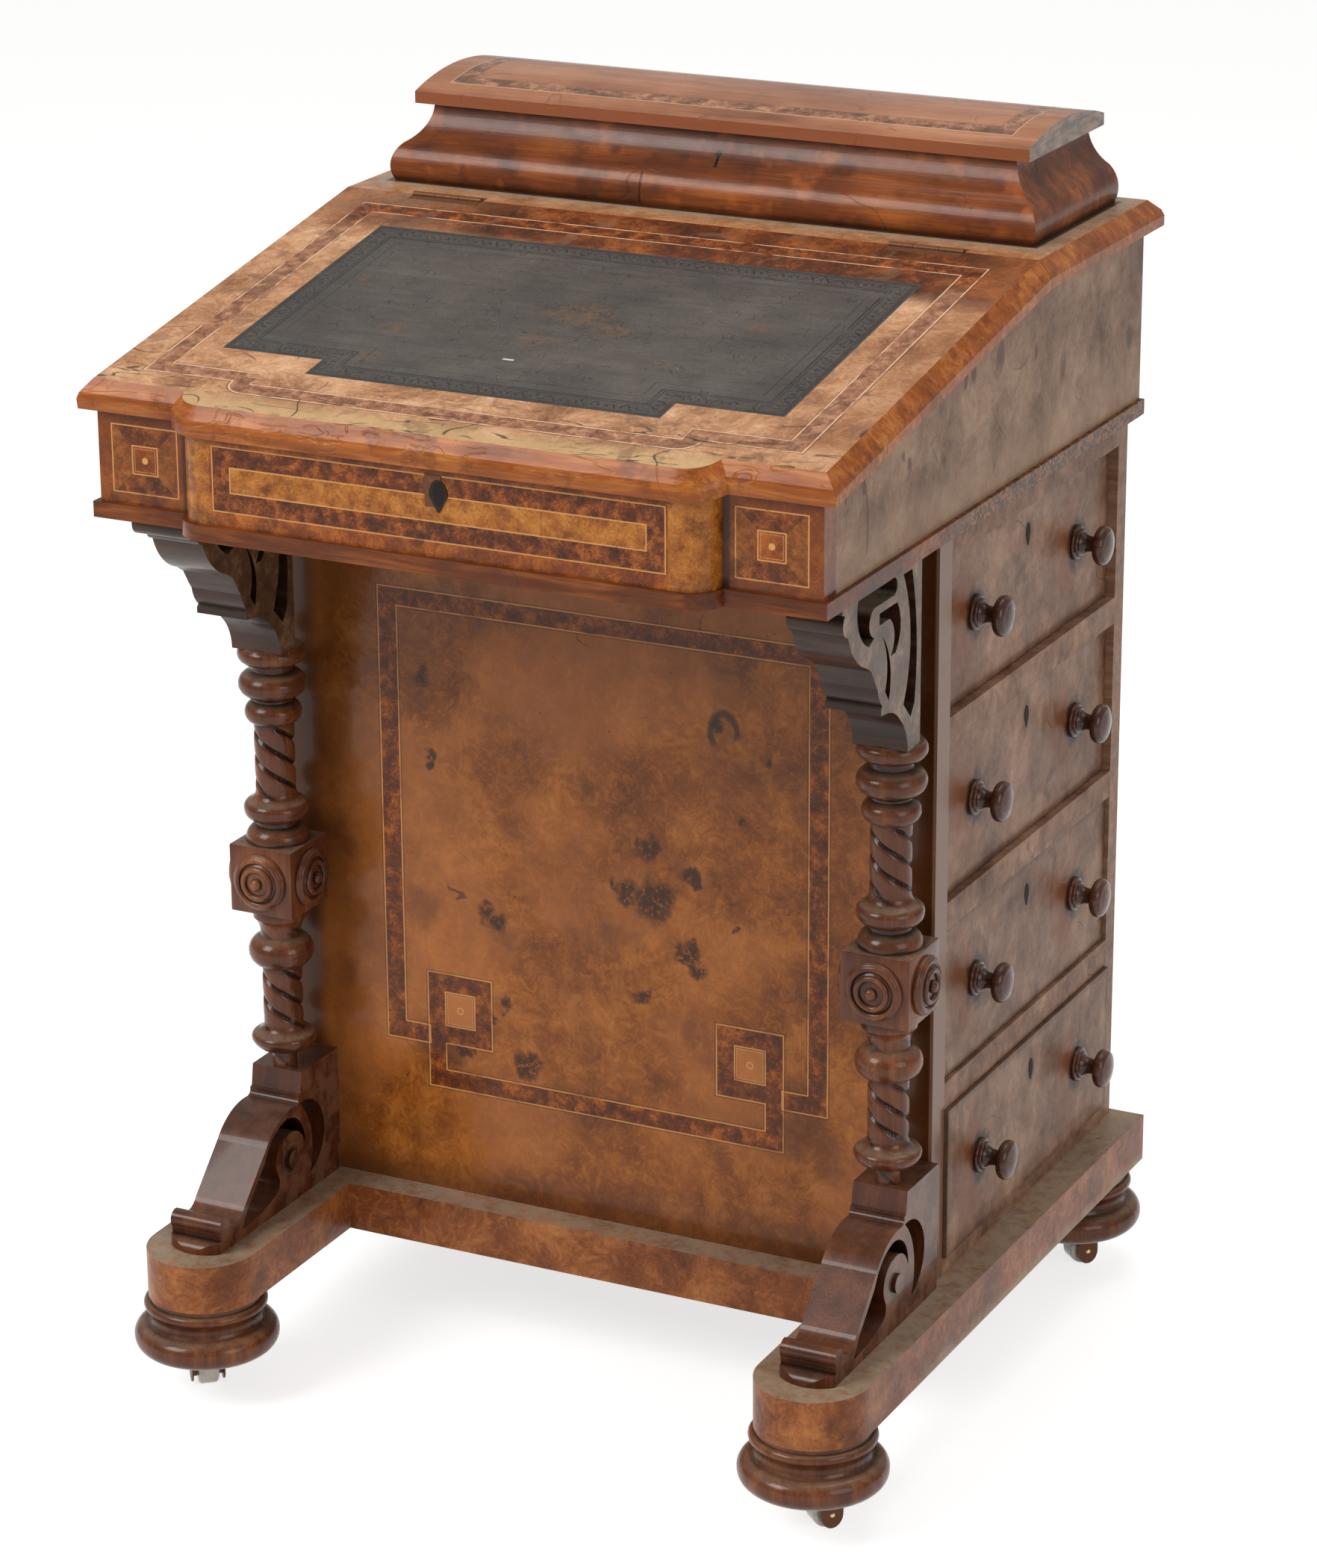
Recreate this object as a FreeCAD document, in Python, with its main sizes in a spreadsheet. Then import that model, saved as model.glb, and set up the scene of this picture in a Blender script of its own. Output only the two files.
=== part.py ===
"""A Victorian walnut davenport desk, built piece by piece as a cabinet maker would build it.

Frame: millimetres, +Z up, X to the right, Y from the writer to the back. Z = 0 is the floor, and the
origin is the middle of the floor box. Inside this script Y is measured from the front face of the
apron's end sections, and place() moves every piece to the origin.
"""
import FreeCAD, Part
import math
import os

import Sketcher
from FreeCAD import Rotation, Vector

doc = FreeCAD.newDocument("Davenport")
sheet = doc.addObject("Spreadsheet::Sheet", "Sizes")

# ---------------------------------------------------------------- driving dimensions, in millimetres
SIZES = [
    # the case
    ("case_width", 533.2, "outside of the case"),
    ("case_depth", 542.7, "apron face to back"),
    ("case_floor", 676.5, "height of the case's lower edge"),
    ("flat_top", 821.3, "height of the fixed top board"),
    ("break_line", 341.0, "from the apron face back to the slope's hinge line"),
    ("slope_angle", 10.04, "slope of the writing lid, in degrees"),
    ("top_thick", 19.2, "thickness of the top board and of the lid"),
    ("side_thick", 18.0, "case sides, apron and pedestal rails"),
    ("base_board", 12.0, "case bottom and case back"),
    ("moulding_over", 11.0, "how far the top moulding stands out"),
    ("moulding_fall", 9.5, "how far the moulding's slope falls"),
    ("moulding_nose", 2.5, "width of the moulding's eased nose"),
    ("nose_over", 6.8, "how far the lid's nose stands in front of the apron"),
    ("base_moulding", 11.1, "height of the moulding under the case"),
    ("base_over", 4.0, "how far that moulding stands out"),
    ("base_strip", 34.0, "width of that moulding's frame"),
    ("break_front", 20.0, "how far the centre stands forward, and its corner radius"),
    ("notch_x", 195.0, "where the centre starts, from the middle"),
    # the writing surface
    ("leather_thick", 1.2, "leather and its rebate"),
    ("leather_side", 58.6, "wood left beside the leather"),
    ("leather_front", 67.5, "wood left in front of the leather at its ends"),
    ("leather_notch", 131.0, "where the leather steps forward, from the middle"),
    ("leather_step", 23.5, "how far it steps forward"),
    ("leather_back", 59.0, "wood left behind the leather"),
    # the stationery box
    ("box_width", 504.0, "over the belly of the box"),
    ("box_front", 374.0, "from the apron face back to the box's belly"),
    ("box_back", 529.0, "from the apron face to the back of the box"),
    ("box_height", 53.9, "height of the box's body above the flat top"),
    ("box_neck", 24.7, "how far the neck is inside the belly"),
    ("box_wall", 12.0, "wall at the neck"),
    ("box_lid_in", 12.5, "how far the lid's ends are inside the belly"),
    ("box_lid_front", 17.5, "how far the lid's front is inside the belly"),
    ("box_lid_edge", 8.6, "height of the lid's straight edge"),
    ("box_lid_rise", 10.6, "rise of the lid's barrel top"),
    # the pedestal
    ("pedestal_width", 511.4, "outside of the pedestal"),
    ("pedestal_front", 208.6, "from the apron face to the pedestal's front"),
    ("pedestal_back", 550.0, "from the apron face to the pedestal's back"),
    ("front_panel", 20.9, "thickness of the front panel"),
    ("back_panel", 17.0, "thickness of the back panel"),
    ("drawer_opening", 114.0, "height of a drawer's opening"),
    ("drawer_rail", 20.0, "height of a rail between drawers"),
    ("top_rail", 23.4, "height of the rail above the drawers"),
    ("drawer_gap", 0.9, "gap round a drawer front"),
    ("drawer_length", 455.0, "length of a drawer behind its front"),
    ("drawer_side", 9.0, "thickness of a drawer's sides and back"),
    ("drawer_bottom", 6.0, "thickness of a drawer's bottom"),
    ("runner_width", 26.0, "width of a drawer runner"),
    ("running_gap", 0.4, "gap between pieces that move"),
    ("dummy_thick", 6.0, "thickness of the false drawer fronts"),
    # knobs
    ("knob_radius", 15.0, "face of a knob"),
    ("knob_neck", 6.0, "neck of a knob"),
    ("knob_out", 29.0, "how far a knob stands out"),
    ("knob_spread", 92.0, "knob to the middle of its drawer"),
    # base
    ("sledge_width", 82.0, "width of a sledge"),
    ("sledge_thick", 36.0, "thickness of a sledge"),
    ("sledge_top", 113.5, "height of a sledge's top"),
    ("sledge_x", 240.35, "middle of a sledge, column and bracket"),
    ("sledge_front", 6.9, "front end of a sledge"),
    ("sledge_back", 556.5, "back end of a sledge"),
    ("plinth_front", 184.8, "front face of the front plinth rail"),
    ("bun_radius", 52.1, "bun foot"),
    ("bun_front", 48.0, "front bun foot's centre"),
    ("bun_back", 515.5, "rear bun foot's centre"),
    ("bun_foot", 35.5, "height of a bun's underside"),
    ("wheel_radius", 12.0, "caster wheel"),
    ("wheel_width", 15.0, "caster wheel"),
    ("caster_trail", 9.0, "wheel centre to swivel centre"),
    ("caster_turn", 40.0, "how far the casters trail outward as the desk stands, in degrees"),
    ("swivel_pin", 3.0, "radius of a caster's swivel pin"),
    # columns and brackets
    ("column_y", 168.0, "middle of a column, from the apron face"),
    ("column_radius", 24.5, "largest radius of a column"),
    ("shaft_radius", 14.4, "waist of a column"),
    ("column_foot", 209.0, "height where a column stands on its scroll foot"),
    ("column_head", 530.0, "height of a column's top disc"),
    ("block_low", 332.5, "underside of a column's square block"),
    ("block_size", 51.0, "square block"),
    ("rosette_radius", 20.6, "turned roundel on a block"),
    ("bracket_width", 40.0, "width of a fretted bracket"),
    ("scroll_width", 41.0, "width of a scroll foot"),
    # hinges and locks
    ("hinge_length", 55.0, "brass butt hinge"),
    ("hinge_leaf", 9.0, "width of a hinge leaf"),
    ("leaf_thick", 1.4, "thickness of a hinge leaf"),
    ("knuckle", 2.0, "radius of a hinge knuckle"),
    ("knuckle_rise", 0.3, "height of the slope's hinge line above the top"),
    ("barrel", 18.0, "length of an outer knuckle"),
    ("hinge_pin", 0.9, "radius of a hinge pin"),
    ("hinge_x", 186.0, "middle of a hinge, from the middle of the desk"),
    ("lock_width", 44.0, "brass box lock"),
    ("lock_height", 26.0, "brass box lock"),
    ("lock_depth", 8.0, "brass box lock"),
]


class Size:
    """A length with its value and the text that binds a property to the sheet."""

    def __init__(self, text, value):
        self.text = text
        self.value = value

    def __add__(self, other):
        return joined(self, "+", other, self.value + number(other))

    def __radd__(self, other):
        return joined(other, "+", self, number(other) + self.value)

    def __sub__(self, other):
        return joined(self, "-", other, self.value - number(other))

    def __rsub__(self, other):
        return joined(other, "-", self, number(other) - self.value)

    def __mul__(self, other):
        return joined(self, "*", other, self.value * number(other))

    def __rmul__(self, other):
        return joined(other, "*", self, number(other) * self.value)

    def __truediv__(self, other):
        return joined(self, "/", other, self.value / number(other))

    def __neg__(self):
        return 0 - self


def number(thing):
    return thing.value if isinstance(thing, Size) else thing


def text(thing):
    return thing.text if isinstance(thing, Size) else repr(float(thing))


def joined(left, sign, right, value):
    return Size(f"({text(left)} {sign} {text(right)})", value)


for row, (alias, value, note) in enumerate(SIZES, 1):
    sheet.set(f"A{row}", alias)
    sheet.set(f"B{row}", str(value))
    sheet.set(f"C{row}", note)
    sheet.setAlias(f"B{row}", alias)
doc.recompute()
sizes = {alias: Size(f"Sizes.{alias}", float(sheet.get(alias))) for alias, _, _ in SIZES}


class Named:
    """Every size of the sheet as an attribute."""


S = Named()
for alias, size in sizes.items():
    setattr(S, alias, size)

TILT = math.radians(S.slope_angle.value)
rise = Size(f"tan({S.slope_angle.text} * 1 deg)", math.tan(TILT))
lid_upright = Size(f"({S.top_thick.text} / cos({S.slope_angle.text} * 1 deg))",
                   S.top_thick.value / math.cos(TILT))
half_case = S.case_width / 2
half_pedestal = S.pedestal_width / 2
case_rim = S.flat_top - S.top_thick
box_rim = S.flat_top + S.box_height
origin_y = (S.bun_back + S.bun_radius - S.break_front - S.nose_over) / 2
RUN = S.running_gap
SIDES = {"left": -1, "right": 1}


# ---------------------------------------------------------------- helpers
def bind(thing, **sizes_of):
    """Binds properties of an object to the sheet."""
    for prop, size in sizes_of.items():
        setattr(thing, prop, number(size))
        if isinstance(size, Size):
            thing.setExpression(prop, size.text)
    return thing


def place(thing, x, y, z, rotation=None):
    """Puts an object at a point, Y counted from the apron face."""
    y = y - origin_y
    spot = Vector(number(x), number(y), number(z))
    thing.Placement = FreeCAD.Placement(spot, rotation or Rotation())
    for axis, size in zip("xyz", (x, y, z)):
        if isinstance(size, Size):
            thing.setExpression(f".Placement.Base.{axis}", size.text)
    return thing


def board(name, x0, x1, y0, y1, z0, z1):
    """A rectangular board between two corners."""
    box = doc.addObject("Part::Box", name)
    bind(box, Length=x1 - x0, Width=y1 - y0, Height=z1 - z0)
    return place(box, x0, y0, z0)


def rod(name, radius, length, x, y, z, axis=Vector(0, 0, 1)):
    """A round bar that starts at a point and runs along an axis."""
    bar = doc.addObject("Part::Cylinder", name)
    bind(bar, Radius=radius, Height=length)
    return place(bar, x, y, z, Rotation(Vector(0, 0, 1), axis))


def cut(name, base, *tools):
    result = doc.addObject("Part::Cut", name)
    result.Base = base
    result.Tool = tools[0] if len(tools) == 1 else joined_solids(name + "Tools", tools)
    return result


def common(name, first, second):
    result = doc.addObject("Part::Common", name)
    result.Base = first
    result.Tool = second
    return result


def joined_solids(name, pieces):
    result = doc.addObject("Part::MultiFuse", name)
    result.Shapes = list(pieces)
    return result


def outline(sketch, start, steps):
    """Draws a closed outline: a step is a point, or a point on an arc and then the arc's end."""
    here = Vector(*map(number, start), 0)
    edges = []
    for step in steps + [start]:
        *middle, end = step if isinstance(step[0], tuple) else (step,)
        end = Vector(*map(number, end), 0)
        if middle:
            via = Vector(*map(number, middle[0]), 0)
            edges.append(Part.Arc(here, via, end))
        elif (end - here).Length > 1e-6:
            edges.append(Part.LineSegment(here, end))
        here = end
    sketch.addGeometry(edges, False)
    for index in range(len(edges)):
        follower = (index + 1) % len(edges)
        sketch.addConstraint(
            Sketcher.Constraint("Coincident", index, end_point(edges[index]), follower,
                                start_point(edges[follower])))


def end_point(edge):
    """Sketcher's number for the end of an edge: an arc runs anticlockwise, whichever way it was drawn."""
    return 1 if isinstance(edge, Part.Arc) and clockwise(edge) else 2


def start_point(edge):
    return 2 if isinstance(edge, Part.Arc) and clockwise(edge) else 1


def clockwise(arc):
    return arc.toShape().Curve.Axis.z < 0


def sketch_on(body, role, name, start, steps):
    sketch = body.newObject("Sketcher::SketchObject", name)
    plane = [feature for feature in body.Origin.OriginFeatures if feature.Role == role][0]
    sketch.AttachmentSupport = [(plane, "")]
    sketch.MapMode = "FlatFace"
    outline(sketch, start, steps)
    return sketch


def padded(name, role, start, steps, length):
    """A body: one outline on an origin plane, padded to a length."""
    body = doc.addObject("PartDesign::Body", name)
    sketch = sketch_on(body, role, name + "Outline", start, steps)
    pad = body.newObject("PartDesign::Pad", name + "Pad")
    pad.Profile = sketch
    bind(pad, Length=length)
    return body


def pocketed(body, role, name, start, steps):
    """Cuts an outline through the whole body, both ways from an origin plane."""
    sketch = sketch_on(body, role, name + "Outline", start, steps)
    pocket = body.newObject("PartDesign::Pocket", name)
    pocket.Profile = sketch
    pocket.Type = "ThroughAll"
    pocket.Midplane = True
    return body


def turned(name, start, steps):
    """A turned body: its half section, radius and height, spun about the upright axis."""
    body = doc.addObject("PartDesign::Body", name)
    sketch = sketch_on(body, "XZ_Plane", name + "Section", start, steps)
    spin = body.newObject("PartDesign::Revolution", name + "Spin")
    spin.Profile = sketch
    spin.ReferenceAxis = (sketch, ["V_Axis"])
    spin.Angle = 360
    return body


def copy_of(source, name, x, y, z, rotation=None):
    """The same piece again at another place."""
    twin = doc.addObject("Part::Compound", name)
    twin.Links = [source]
    return place(twin, x, y, z, rotation)


nodes = {}


def node(name, *pieces):
    """Names a sub-part: one piece, or several separate solids that are alike."""
    if len(pieces) == 1:
        whole = pieces[0]
    else:
        whole = doc.addObject("Part::Compound", name + "Set")
        whole.Links = list(pieces)
    whole.Label = name
    nodes[name] = whole
    return whole


def break_front(over, back, depth=0):
    """The plan of the case front: straight ends, and a centre that stands forward on quarter rounds."""
    radius = S.break_front.value + over
    centre = S.notch_x.value - S.break_front.value
    foot = centre + math.sqrt(radius ** 2 - over ** 2)
    half = half_case.value + over
    bend = radius * math.sqrt(0.5)
    front = depth - over
    start = (-half, back)
    steps = [
        (-half, front), (-foot, front),
        ((-centre - bend, depth - bend), (-centre, depth - radius)), (centre, depth - radius),
        ((centre + bend, depth - bend), (foot, front)), (half, front), (half, back),
    ]
    return start, steps


# ---------------------------------------------------------------- hinges
def hinge_beds(name, facing, line, top):
    """Rebates for the leaves and barrels of the two slope hinges, on one side of the hinge line."""
    beds = []
    half = S.hinge_length / 2 + RUN
    for side, sign in SIDES.items():
        x = sign * S.hinge_x
        for part, reach, deep in (("Leaf", S.hinge_leaf, S.leaf_thick),
                                  ("Barrel", S.knuckle + RUN, S.knuckle + RUN)):
            y0, y1 = (line - 1, line + reach) if facing > 0 else (line - reach, line + 1)
            beds.append(board(f"{name}{part}Bed{side}", x - half, x + half, y0, y1, top - deep, top + 5))
    return beds


def lidded(name, piece):
    """Turns a piece drawn about the hinge line into the plane of the writing lid."""
    turned_piece = doc.addObject("Part::Compound", name)
    turned_piece.Links = [piece]
    return place(turned_piece, 0, S.break_line, S.flat_top, lid_turn)


def slope_hinges():
    """Brass butt hinges: the outer knuckles stay with the top, the middle one and the pin with the lid."""
    fixed = []
    moving = []
    half = S.hinge_length / 2
    near = S.knuckle + RUN
    for side, sign in SIDES.items():
        x = sign * S.hinge_x
        line = S.break_line
        top = S.flat_top
        axis = Vector(1, 0, 0)
        leaf = board(f"TopLeaf{side}", x - half, x + half, line + near, line + S.hinge_leaf,
                     top - S.leaf_thick, top)
        ends = []
        for end, x0 in (("A", x - half), ("B", x + half - S.barrel)):
            barrel = rod(f"TopBarrel{end}{side}", S.knuckle, S.barrel, x0, line, top + S.knuckle_rise, axis)
            web = board(f"TopWeb{end}{side}", x0, x0 + S.barrel, line, line + near + 1,
                        top - S.leaf_thick, top)
            hole = rod(f"TopHole{end}{side}", S.hinge_pin + 0.1, S.barrel + 2, x0 - 1, line, top + S.knuckle_rise, axis)
            ends.append(cut(f"TopKnuckle{end}{side}", joined_solids(f"TopEnd{end}{side}", [barrel, web]),
                            hole))
        fixed.append(joined_solids(f"TopHinge{side}", [leaf] + ends))
        line = origin_y
        leaf = board(f"LidLeaf{side}", x - half, x + half, line - S.hinge_leaf, line - near,
                     -S.leaf_thick, 0)
        long = S.hinge_length - 2 * S.barrel - 2 * RUN
        barrel = rod(f"LidBarrel{side}", S.knuckle, long, x - long / 2, line, S.knuckle_rise, axis)
        web = board(f"LidWeb{side}", x - long / 2, x + long / 2, line - near - 1, line, -S.leaf_thick, 0)
        pin = rod(f"LidPin{side}", S.hinge_pin, S.hinge_length, x - half, line, S.knuckle_rise, axis)
        flat = joined_solids(f"LidHingeFlat{side}", [leaf, barrel, web, pin])
        moving.append(lidded(f"LidHinge{side}", flat))
    return fixed, moving


def box_hinges():
    """The same hinges on the back of the box: one leaf on the carcase, one on the lid's edge."""
    fixed = []
    moving = []
    half = S.hinge_length / 2
    axis_y = S.box_back + S.knuckle + RUN
    axis_z = box_rim + RUN / 2
    near = S.knuckle + RUN
    axis = Vector(1, 0, 0)
    for side, sign in SIDES.items():
        x = sign * (S.hinge_x - 40)
        leaf = board(f"BoxLeaf{side}", x - half, x + half, S.box_back, S.box_back + S.leaf_thick,
                     axis_z - S.hinge_leaf - near, axis_z - near)
        ends = []
        for end, x0 in (("A", x - half), ("B", x + half - S.barrel)):
            barrel = rod(f"BoxBarrel{end}{side}", S.knuckle, S.barrel, x0, axis_y, axis_z, axis)
            web = board(f"BoxWeb{end}{side}", x0, x0 + S.barrel, S.box_back, S.box_back + S.leaf_thick,
                        axis_z - near - 1, axis_z - 0.5)
            link = board(f"BoxLink{end}{side}", x0, x0 + S.barrel, S.box_back, axis_y, axis_z - 1.9,
                         axis_z - 0.5)
            hole = rod(f"BoxHole{end}{side}", S.hinge_pin + 0.1, S.barrel + 2, x0 - 1, axis_y, axis_z, axis)
            ends.append(cut(f"BoxKnuckle{end}{side}",
                            joined_solids(f"BoxEnd{end}{side}", [barrel, web, link]), hole))
        fixed.append(joined_solids(f"BoxHinge{side}", [leaf] + ends))
        leaf = board(f"BoxLidLeaf{side}", x - half, x + half, S.box_back, S.box_back + S.leaf_thick,
                     axis_z + near, axis_z + S.box_lid_edge)
        long = S.hinge_length - 2 * S.barrel - 2 * RUN
        barrel = rod(f"BoxLidBarrel{side}", S.knuckle, long, x - long / 2, axis_y, axis_z, axis)
        web = board(f"BoxLidWeb{side}", x - long / 2, x + long / 2, S.box_back,
                    S.box_back + S.leaf_thick, axis_z + 0.5, axis_z + near + 1)
        link = board(f"BoxLidLink{side}", x - long / 2, x + long / 2, S.box_back, axis_y, axis_z + 0.5,
                     axis_z + 1.9)
        pin = rod(f"BoxLidPin{side}", S.hinge_pin, S.hinge_length, x - half, axis_y, axis_z, axis)
        moving.append(joined_solids(f"BoxLidHinge{side}", [leaf, barrel, web, link, pin]))
    return fixed, moving


def fittings():
    """Hinges, the two locks of the writing slope and the box, and the key plate on the apron."""
    slope_fixed, slope_moving = slope_hinges()
    box_fixed, box_moving = box_hinges()
    node("hinge_leaves_fixed", *slope_fixed, *box_fixed)
    node("slope_hinge_leaves", *slope_moving)
    node("box_hinge_leaves", *box_moving)
    half = S.lock_width / 2
    well_top = lid_line(S.side_thick) - 6
    inner_y = S.box_front + S.box_neck + S.box_wall
    plate_z = S.case_floor + 34
    node("case_locks",
         board("SlopeLock", -half, half, S.side_thick, S.side_thick + S.lock_depth,
               well_top - S.lock_height, well_top),
         board("BoxLock", -half, half, inner_y, inner_y + S.lock_depth, box_rim - S.lock_height,
               box_rim - RUN),
         board("KeyPlate", -6, 6, -S.break_front - 0.8, -S.break_front, plate_z, plate_z + 21))


# ---------------------------------------------------------------- case
def lid_line(y):
    """Height of the case's sloping rim under the writing lid."""
    return S.flat_top - lid_upright - (S.break_line - y) * rise - RUN


def case():
    for side, sign in SIDES.items():
        body = padded(f"CaseSide{side}", "YZ_Plane", (S.side_thick, S.case_floor), [
            (S.case_depth, S.case_floor), (S.case_depth, case_rim), (S.break_line, case_rim),
            (S.break_line, lid_line(S.break_line)), (S.side_thick, lid_line(S.side_thick))], S.side_thick)
        inner = half_case - S.side_thick
        node(f"case_side_{side}", place(body, -half_case if sign < 0 else inner, 0, 0))
    within = half_case - S.side_thick
    floor = S.case_floor + S.base_board
    node("case_bottom", board("CaseBottom", -within, within, S.side_thick,
                              S.case_depth - S.base_board, S.case_floor, floor))
    node("case_back", board("CaseBack", -within, within, S.case_depth - S.base_board, S.case_depth,
                            S.case_floor, case_rim))
    start, steps = break_front(0, S.side_thick)
    height = lid_line(S.side_thick) - S.case_floor
    apron = padded("Apron", "XY_Plane", start, steps, height)
    low = lid_line(-S.break_front) - S.case_floor
    front = -S.break_front
    pocketed(apron, "YZ_Plane", "ApronSlope", (S.side_thick, height), [
        (S.side_thick, height + 20), (front * 1.2, height + 20),
        (front * 1.2, low - 0.2 * S.break_front * rise)])
    node("front_apron", place(apron, 0, 0, S.case_floor))


def base_moulding():
    """The moulding under the case: a mitred frame that follows the break-front."""
    start, steps = break_front(S.base_over.value, S.base_strip)
    front = padded("BaseFront", "XY_Plane", start, steps, S.base_moulding)
    low = S.case_floor - S.base_moulding
    place(front, 0, 0, low)
    outer = half_case + S.base_over
    sides = [board("BaseLeft", -outer, S.base_strip - outer, S.base_strip, S.case_depth, low, S.case_floor),
             board("BaseRight", outer - S.base_strip, outer, S.base_strip, S.case_depth, low, S.case_floor),
             board("BaseBack", S.base_strip - outer, outer - S.base_strip, S.case_depth - S.base_strip,
                   S.case_depth, low, S.case_floor)]
    node("case_base_moulding", front, *sides)


def level_edges(shape, height, keep_edge):
    """The names of the edges that lie at one height, but for those that keep_edge picks."""
    return [f"Edge{index}" for index, edge in enumerate(shape.Edges, 1)
            if all(abs(vertex.Z - height) < 1e-4 for vertex in edge.Vertexes) and not keep_edge(edge)]


def moulded_edges(body, name, base, keep_edge):
    """Works the upper edges of a board to the moulding: a slope that falls to an eased nose."""
    doc.recompute()
    top = max(vertex.Z for vertex in base.Shape.Vertexes)
    slope = body.newObject("PartDesign::Chamfer", name + "Slope")
    slope.Base = (base, level_edges(base.Shape, top, keep_edge))
    bind(slope, Size=S.moulding_fall)
    doc.recompute()
    nose = body.newObject("PartDesign::Chamfer", name + "Nose")
    nose.Base = (slope, level_edges(slope.Shape, top - S.moulding_fall.value, keep_edge))
    bind(nose, Size=S.moulding_nose)


def top_board():
    outer = half_case + S.moulding_over
    back = S.case_depth + S.moulding_over
    edge = S.break_line + RUN / 2
    body = padded("TopBoard", "XY_Plane", (-outer, edge), [(outer, edge), (outer, back), (-outer, back)],
                  S.top_thick)
    moulded_edges(body, "TopMoulding", body.Tip, lambda e: e.BoundBox.YMax < number(edge) + 1)
    place(body, 0, 0, case_rim)
    node("top_board", cut("RebatedTop", body, *hinge_beds("Top", 1, S.break_line, S.flat_top)))


# ---------------------------------------------------------------- writing lid
lid_turn = Rotation(Vector(1, 0, 0), S.slope_angle.value)
apron_along = S.break_line.value / math.cos(TILT)
nose_along = S.nose_over.value + math.sin(TILT) * S.top_thick.value


def leather_plan(inset):
    side = half_case.value - S.leather_side.value - inset
    front = -apron_along + S.leather_front.value + inset
    step = S.leather_step.value
    notch = S.leather_notch.value - inset
    back = -S.leather_back.value - inset
    return (-side, back), [
        (-side, front), (-notch, front), (-notch, front - step), (notch, front - step),
        (notch, front), (side, front), (side, back)]


def slope_lid():
    start, steps = break_front(nose_along, -RUN.value / 2, -apron_along)
    over = S.moulding_over.value - nose_along
    start = (start[0] - over, start[1])
    steps = [(steps[0][0] - over, steps[0][1])] + steps[1:-2] + [
        (steps[-2][0] + over, steps[-2][1]), (steps[-1][0] + over, steps[-1][1])]
    body = padded("SlopeBoard", "XY_Plane", start, steps, S.top_thick)
    moulded_edges(body, "SlopeMoulding", body.Tip, lambda e: e.BoundBox.YMin > -2)
    doc.recompute()
    sketch = sketch_on(body, "XY_Plane", "LeatherRebateOutline", *leather_plan(0))
    sketch.AttachmentOffset = FreeCAD.Placement(Vector(0, 0, S.top_thick.value), Rotation())
    sketch.setExpression(".AttachmentOffset.Base.z", S.top_thick.text)
    rebate = body.newObject("PartDesign::Pocket", "LeatherRebate")
    rebate.Profile = sketch
    bind(rebate, Length=S.leather_thick)
    sunk = Vector(0, math.sin(TILT), -math.cos(TILT)) * S.top_thick.value
    place(body, 0, S.break_line + sunk.y, S.flat_top + sunk.z, lid_turn)
    beds = [lidded(bed.Name + "Turned", bed) for bed in hinge_beds("Lid", -1, origin_y, 0)]
    wide = S.case_width
    bevel = board("LidBackBevel", -wide, wide, S.break_line - RUN / 2, S.break_line + 20, case_rim - 10,
                  S.flat_top + 5)
    node("slope_board", cut("RebatedLid", body, bevel, *beds))
    leather = padded("Leather", "XY_Plane", *leather_plan(0.2), S.leather_thick)
    sunk = Vector(0, math.sin(TILT), -math.cos(TILT)) * S.leather_thick.value
    place(leather, 0, S.break_line + sunk.y, S.flat_top + sunk.z, lid_turn)
    node("leather_skiver", leather)


# ---------------------------------------------------------------- stationery box
def box_section(outer, turn=1):
    """The box's ogee from foot to rim: a belly, then a hollow that sweeps in to the neck."""
    foot = S.flat_top.value
    rim = box_rim.value
    neck = S.box_neck.value
    return (outer + 3 * turn, foot), [
        ((outer + 0.3 * turn, foot + 12), (outer + 8 * turn, foot + 27)),
        ((outer + (neck - 4.7) * turn, foot + 38.5), (outer + neck * turn, rim))]


def box_carcase():
    """Front and sides are planks worked to one section, with an inner face that is upright."""
    half = S.box_width.value / 2
    left_foot, left = box_section(-half)
    right_foot, right = box_section(half, -1)
    (right_belly_via, right_belly), (right_neck_via, right_neck) = right
    across = padded("BoxAcross", "XZ_Plane", left_foot, left + [
        right_neck, (right_neck_via, right_belly), (right_belly_via, right_foot)],
        S.box_back - S.box_front + 2)
    place(across, 0, S.box_back + 1, 0)
    front_foot, front = box_section(S.box_front.value)
    along = padded("BoxAlong", "YZ_Plane", front_foot, front + [
        (S.box_back, box_rim), (S.box_back, S.flat_top)], S.box_width + 2)
    place(along, -S.box_width / 2 - 1, 0, 0)
    block = common("BoxBlock", across, along)
    inner_x = S.box_width / 2 - S.box_neck - S.box_wall
    inner_y = S.box_front + S.box_neck + S.box_wall
    inner_back = S.box_back - S.box_wall
    wide = S.box_width / 2 + 10
    low = S.flat_top - 1
    high = box_rim + 1
    front_zone = board("BoxFrontZone", -wide, wide, S.box_front - 2, inner_y, low, high)
    back_zone = board("BoxBackZone", -wide, wide, inner_back, S.box_back + 2, low, high)
    left_zone = board("BoxLeftZone", -wide, -inner_x, inner_y, inner_back, low, high)
    right_zone = board("BoxRightZone", inner_x, wide, inner_y, inner_back, low, high)
    node("box_front", common("BoxFront", block, front_zone))
    node("box_sides", common("BoxLeftSide", block, left_zone), common("BoxRightSide", block, right_zone))
    bottom = board("BoxBottom", -inner_x, inner_x, inner_y, inner_back, S.flat_top, S.flat_top + 3)
    node("box_back", common("BoxBack", block, back_zone), bottom)


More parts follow.
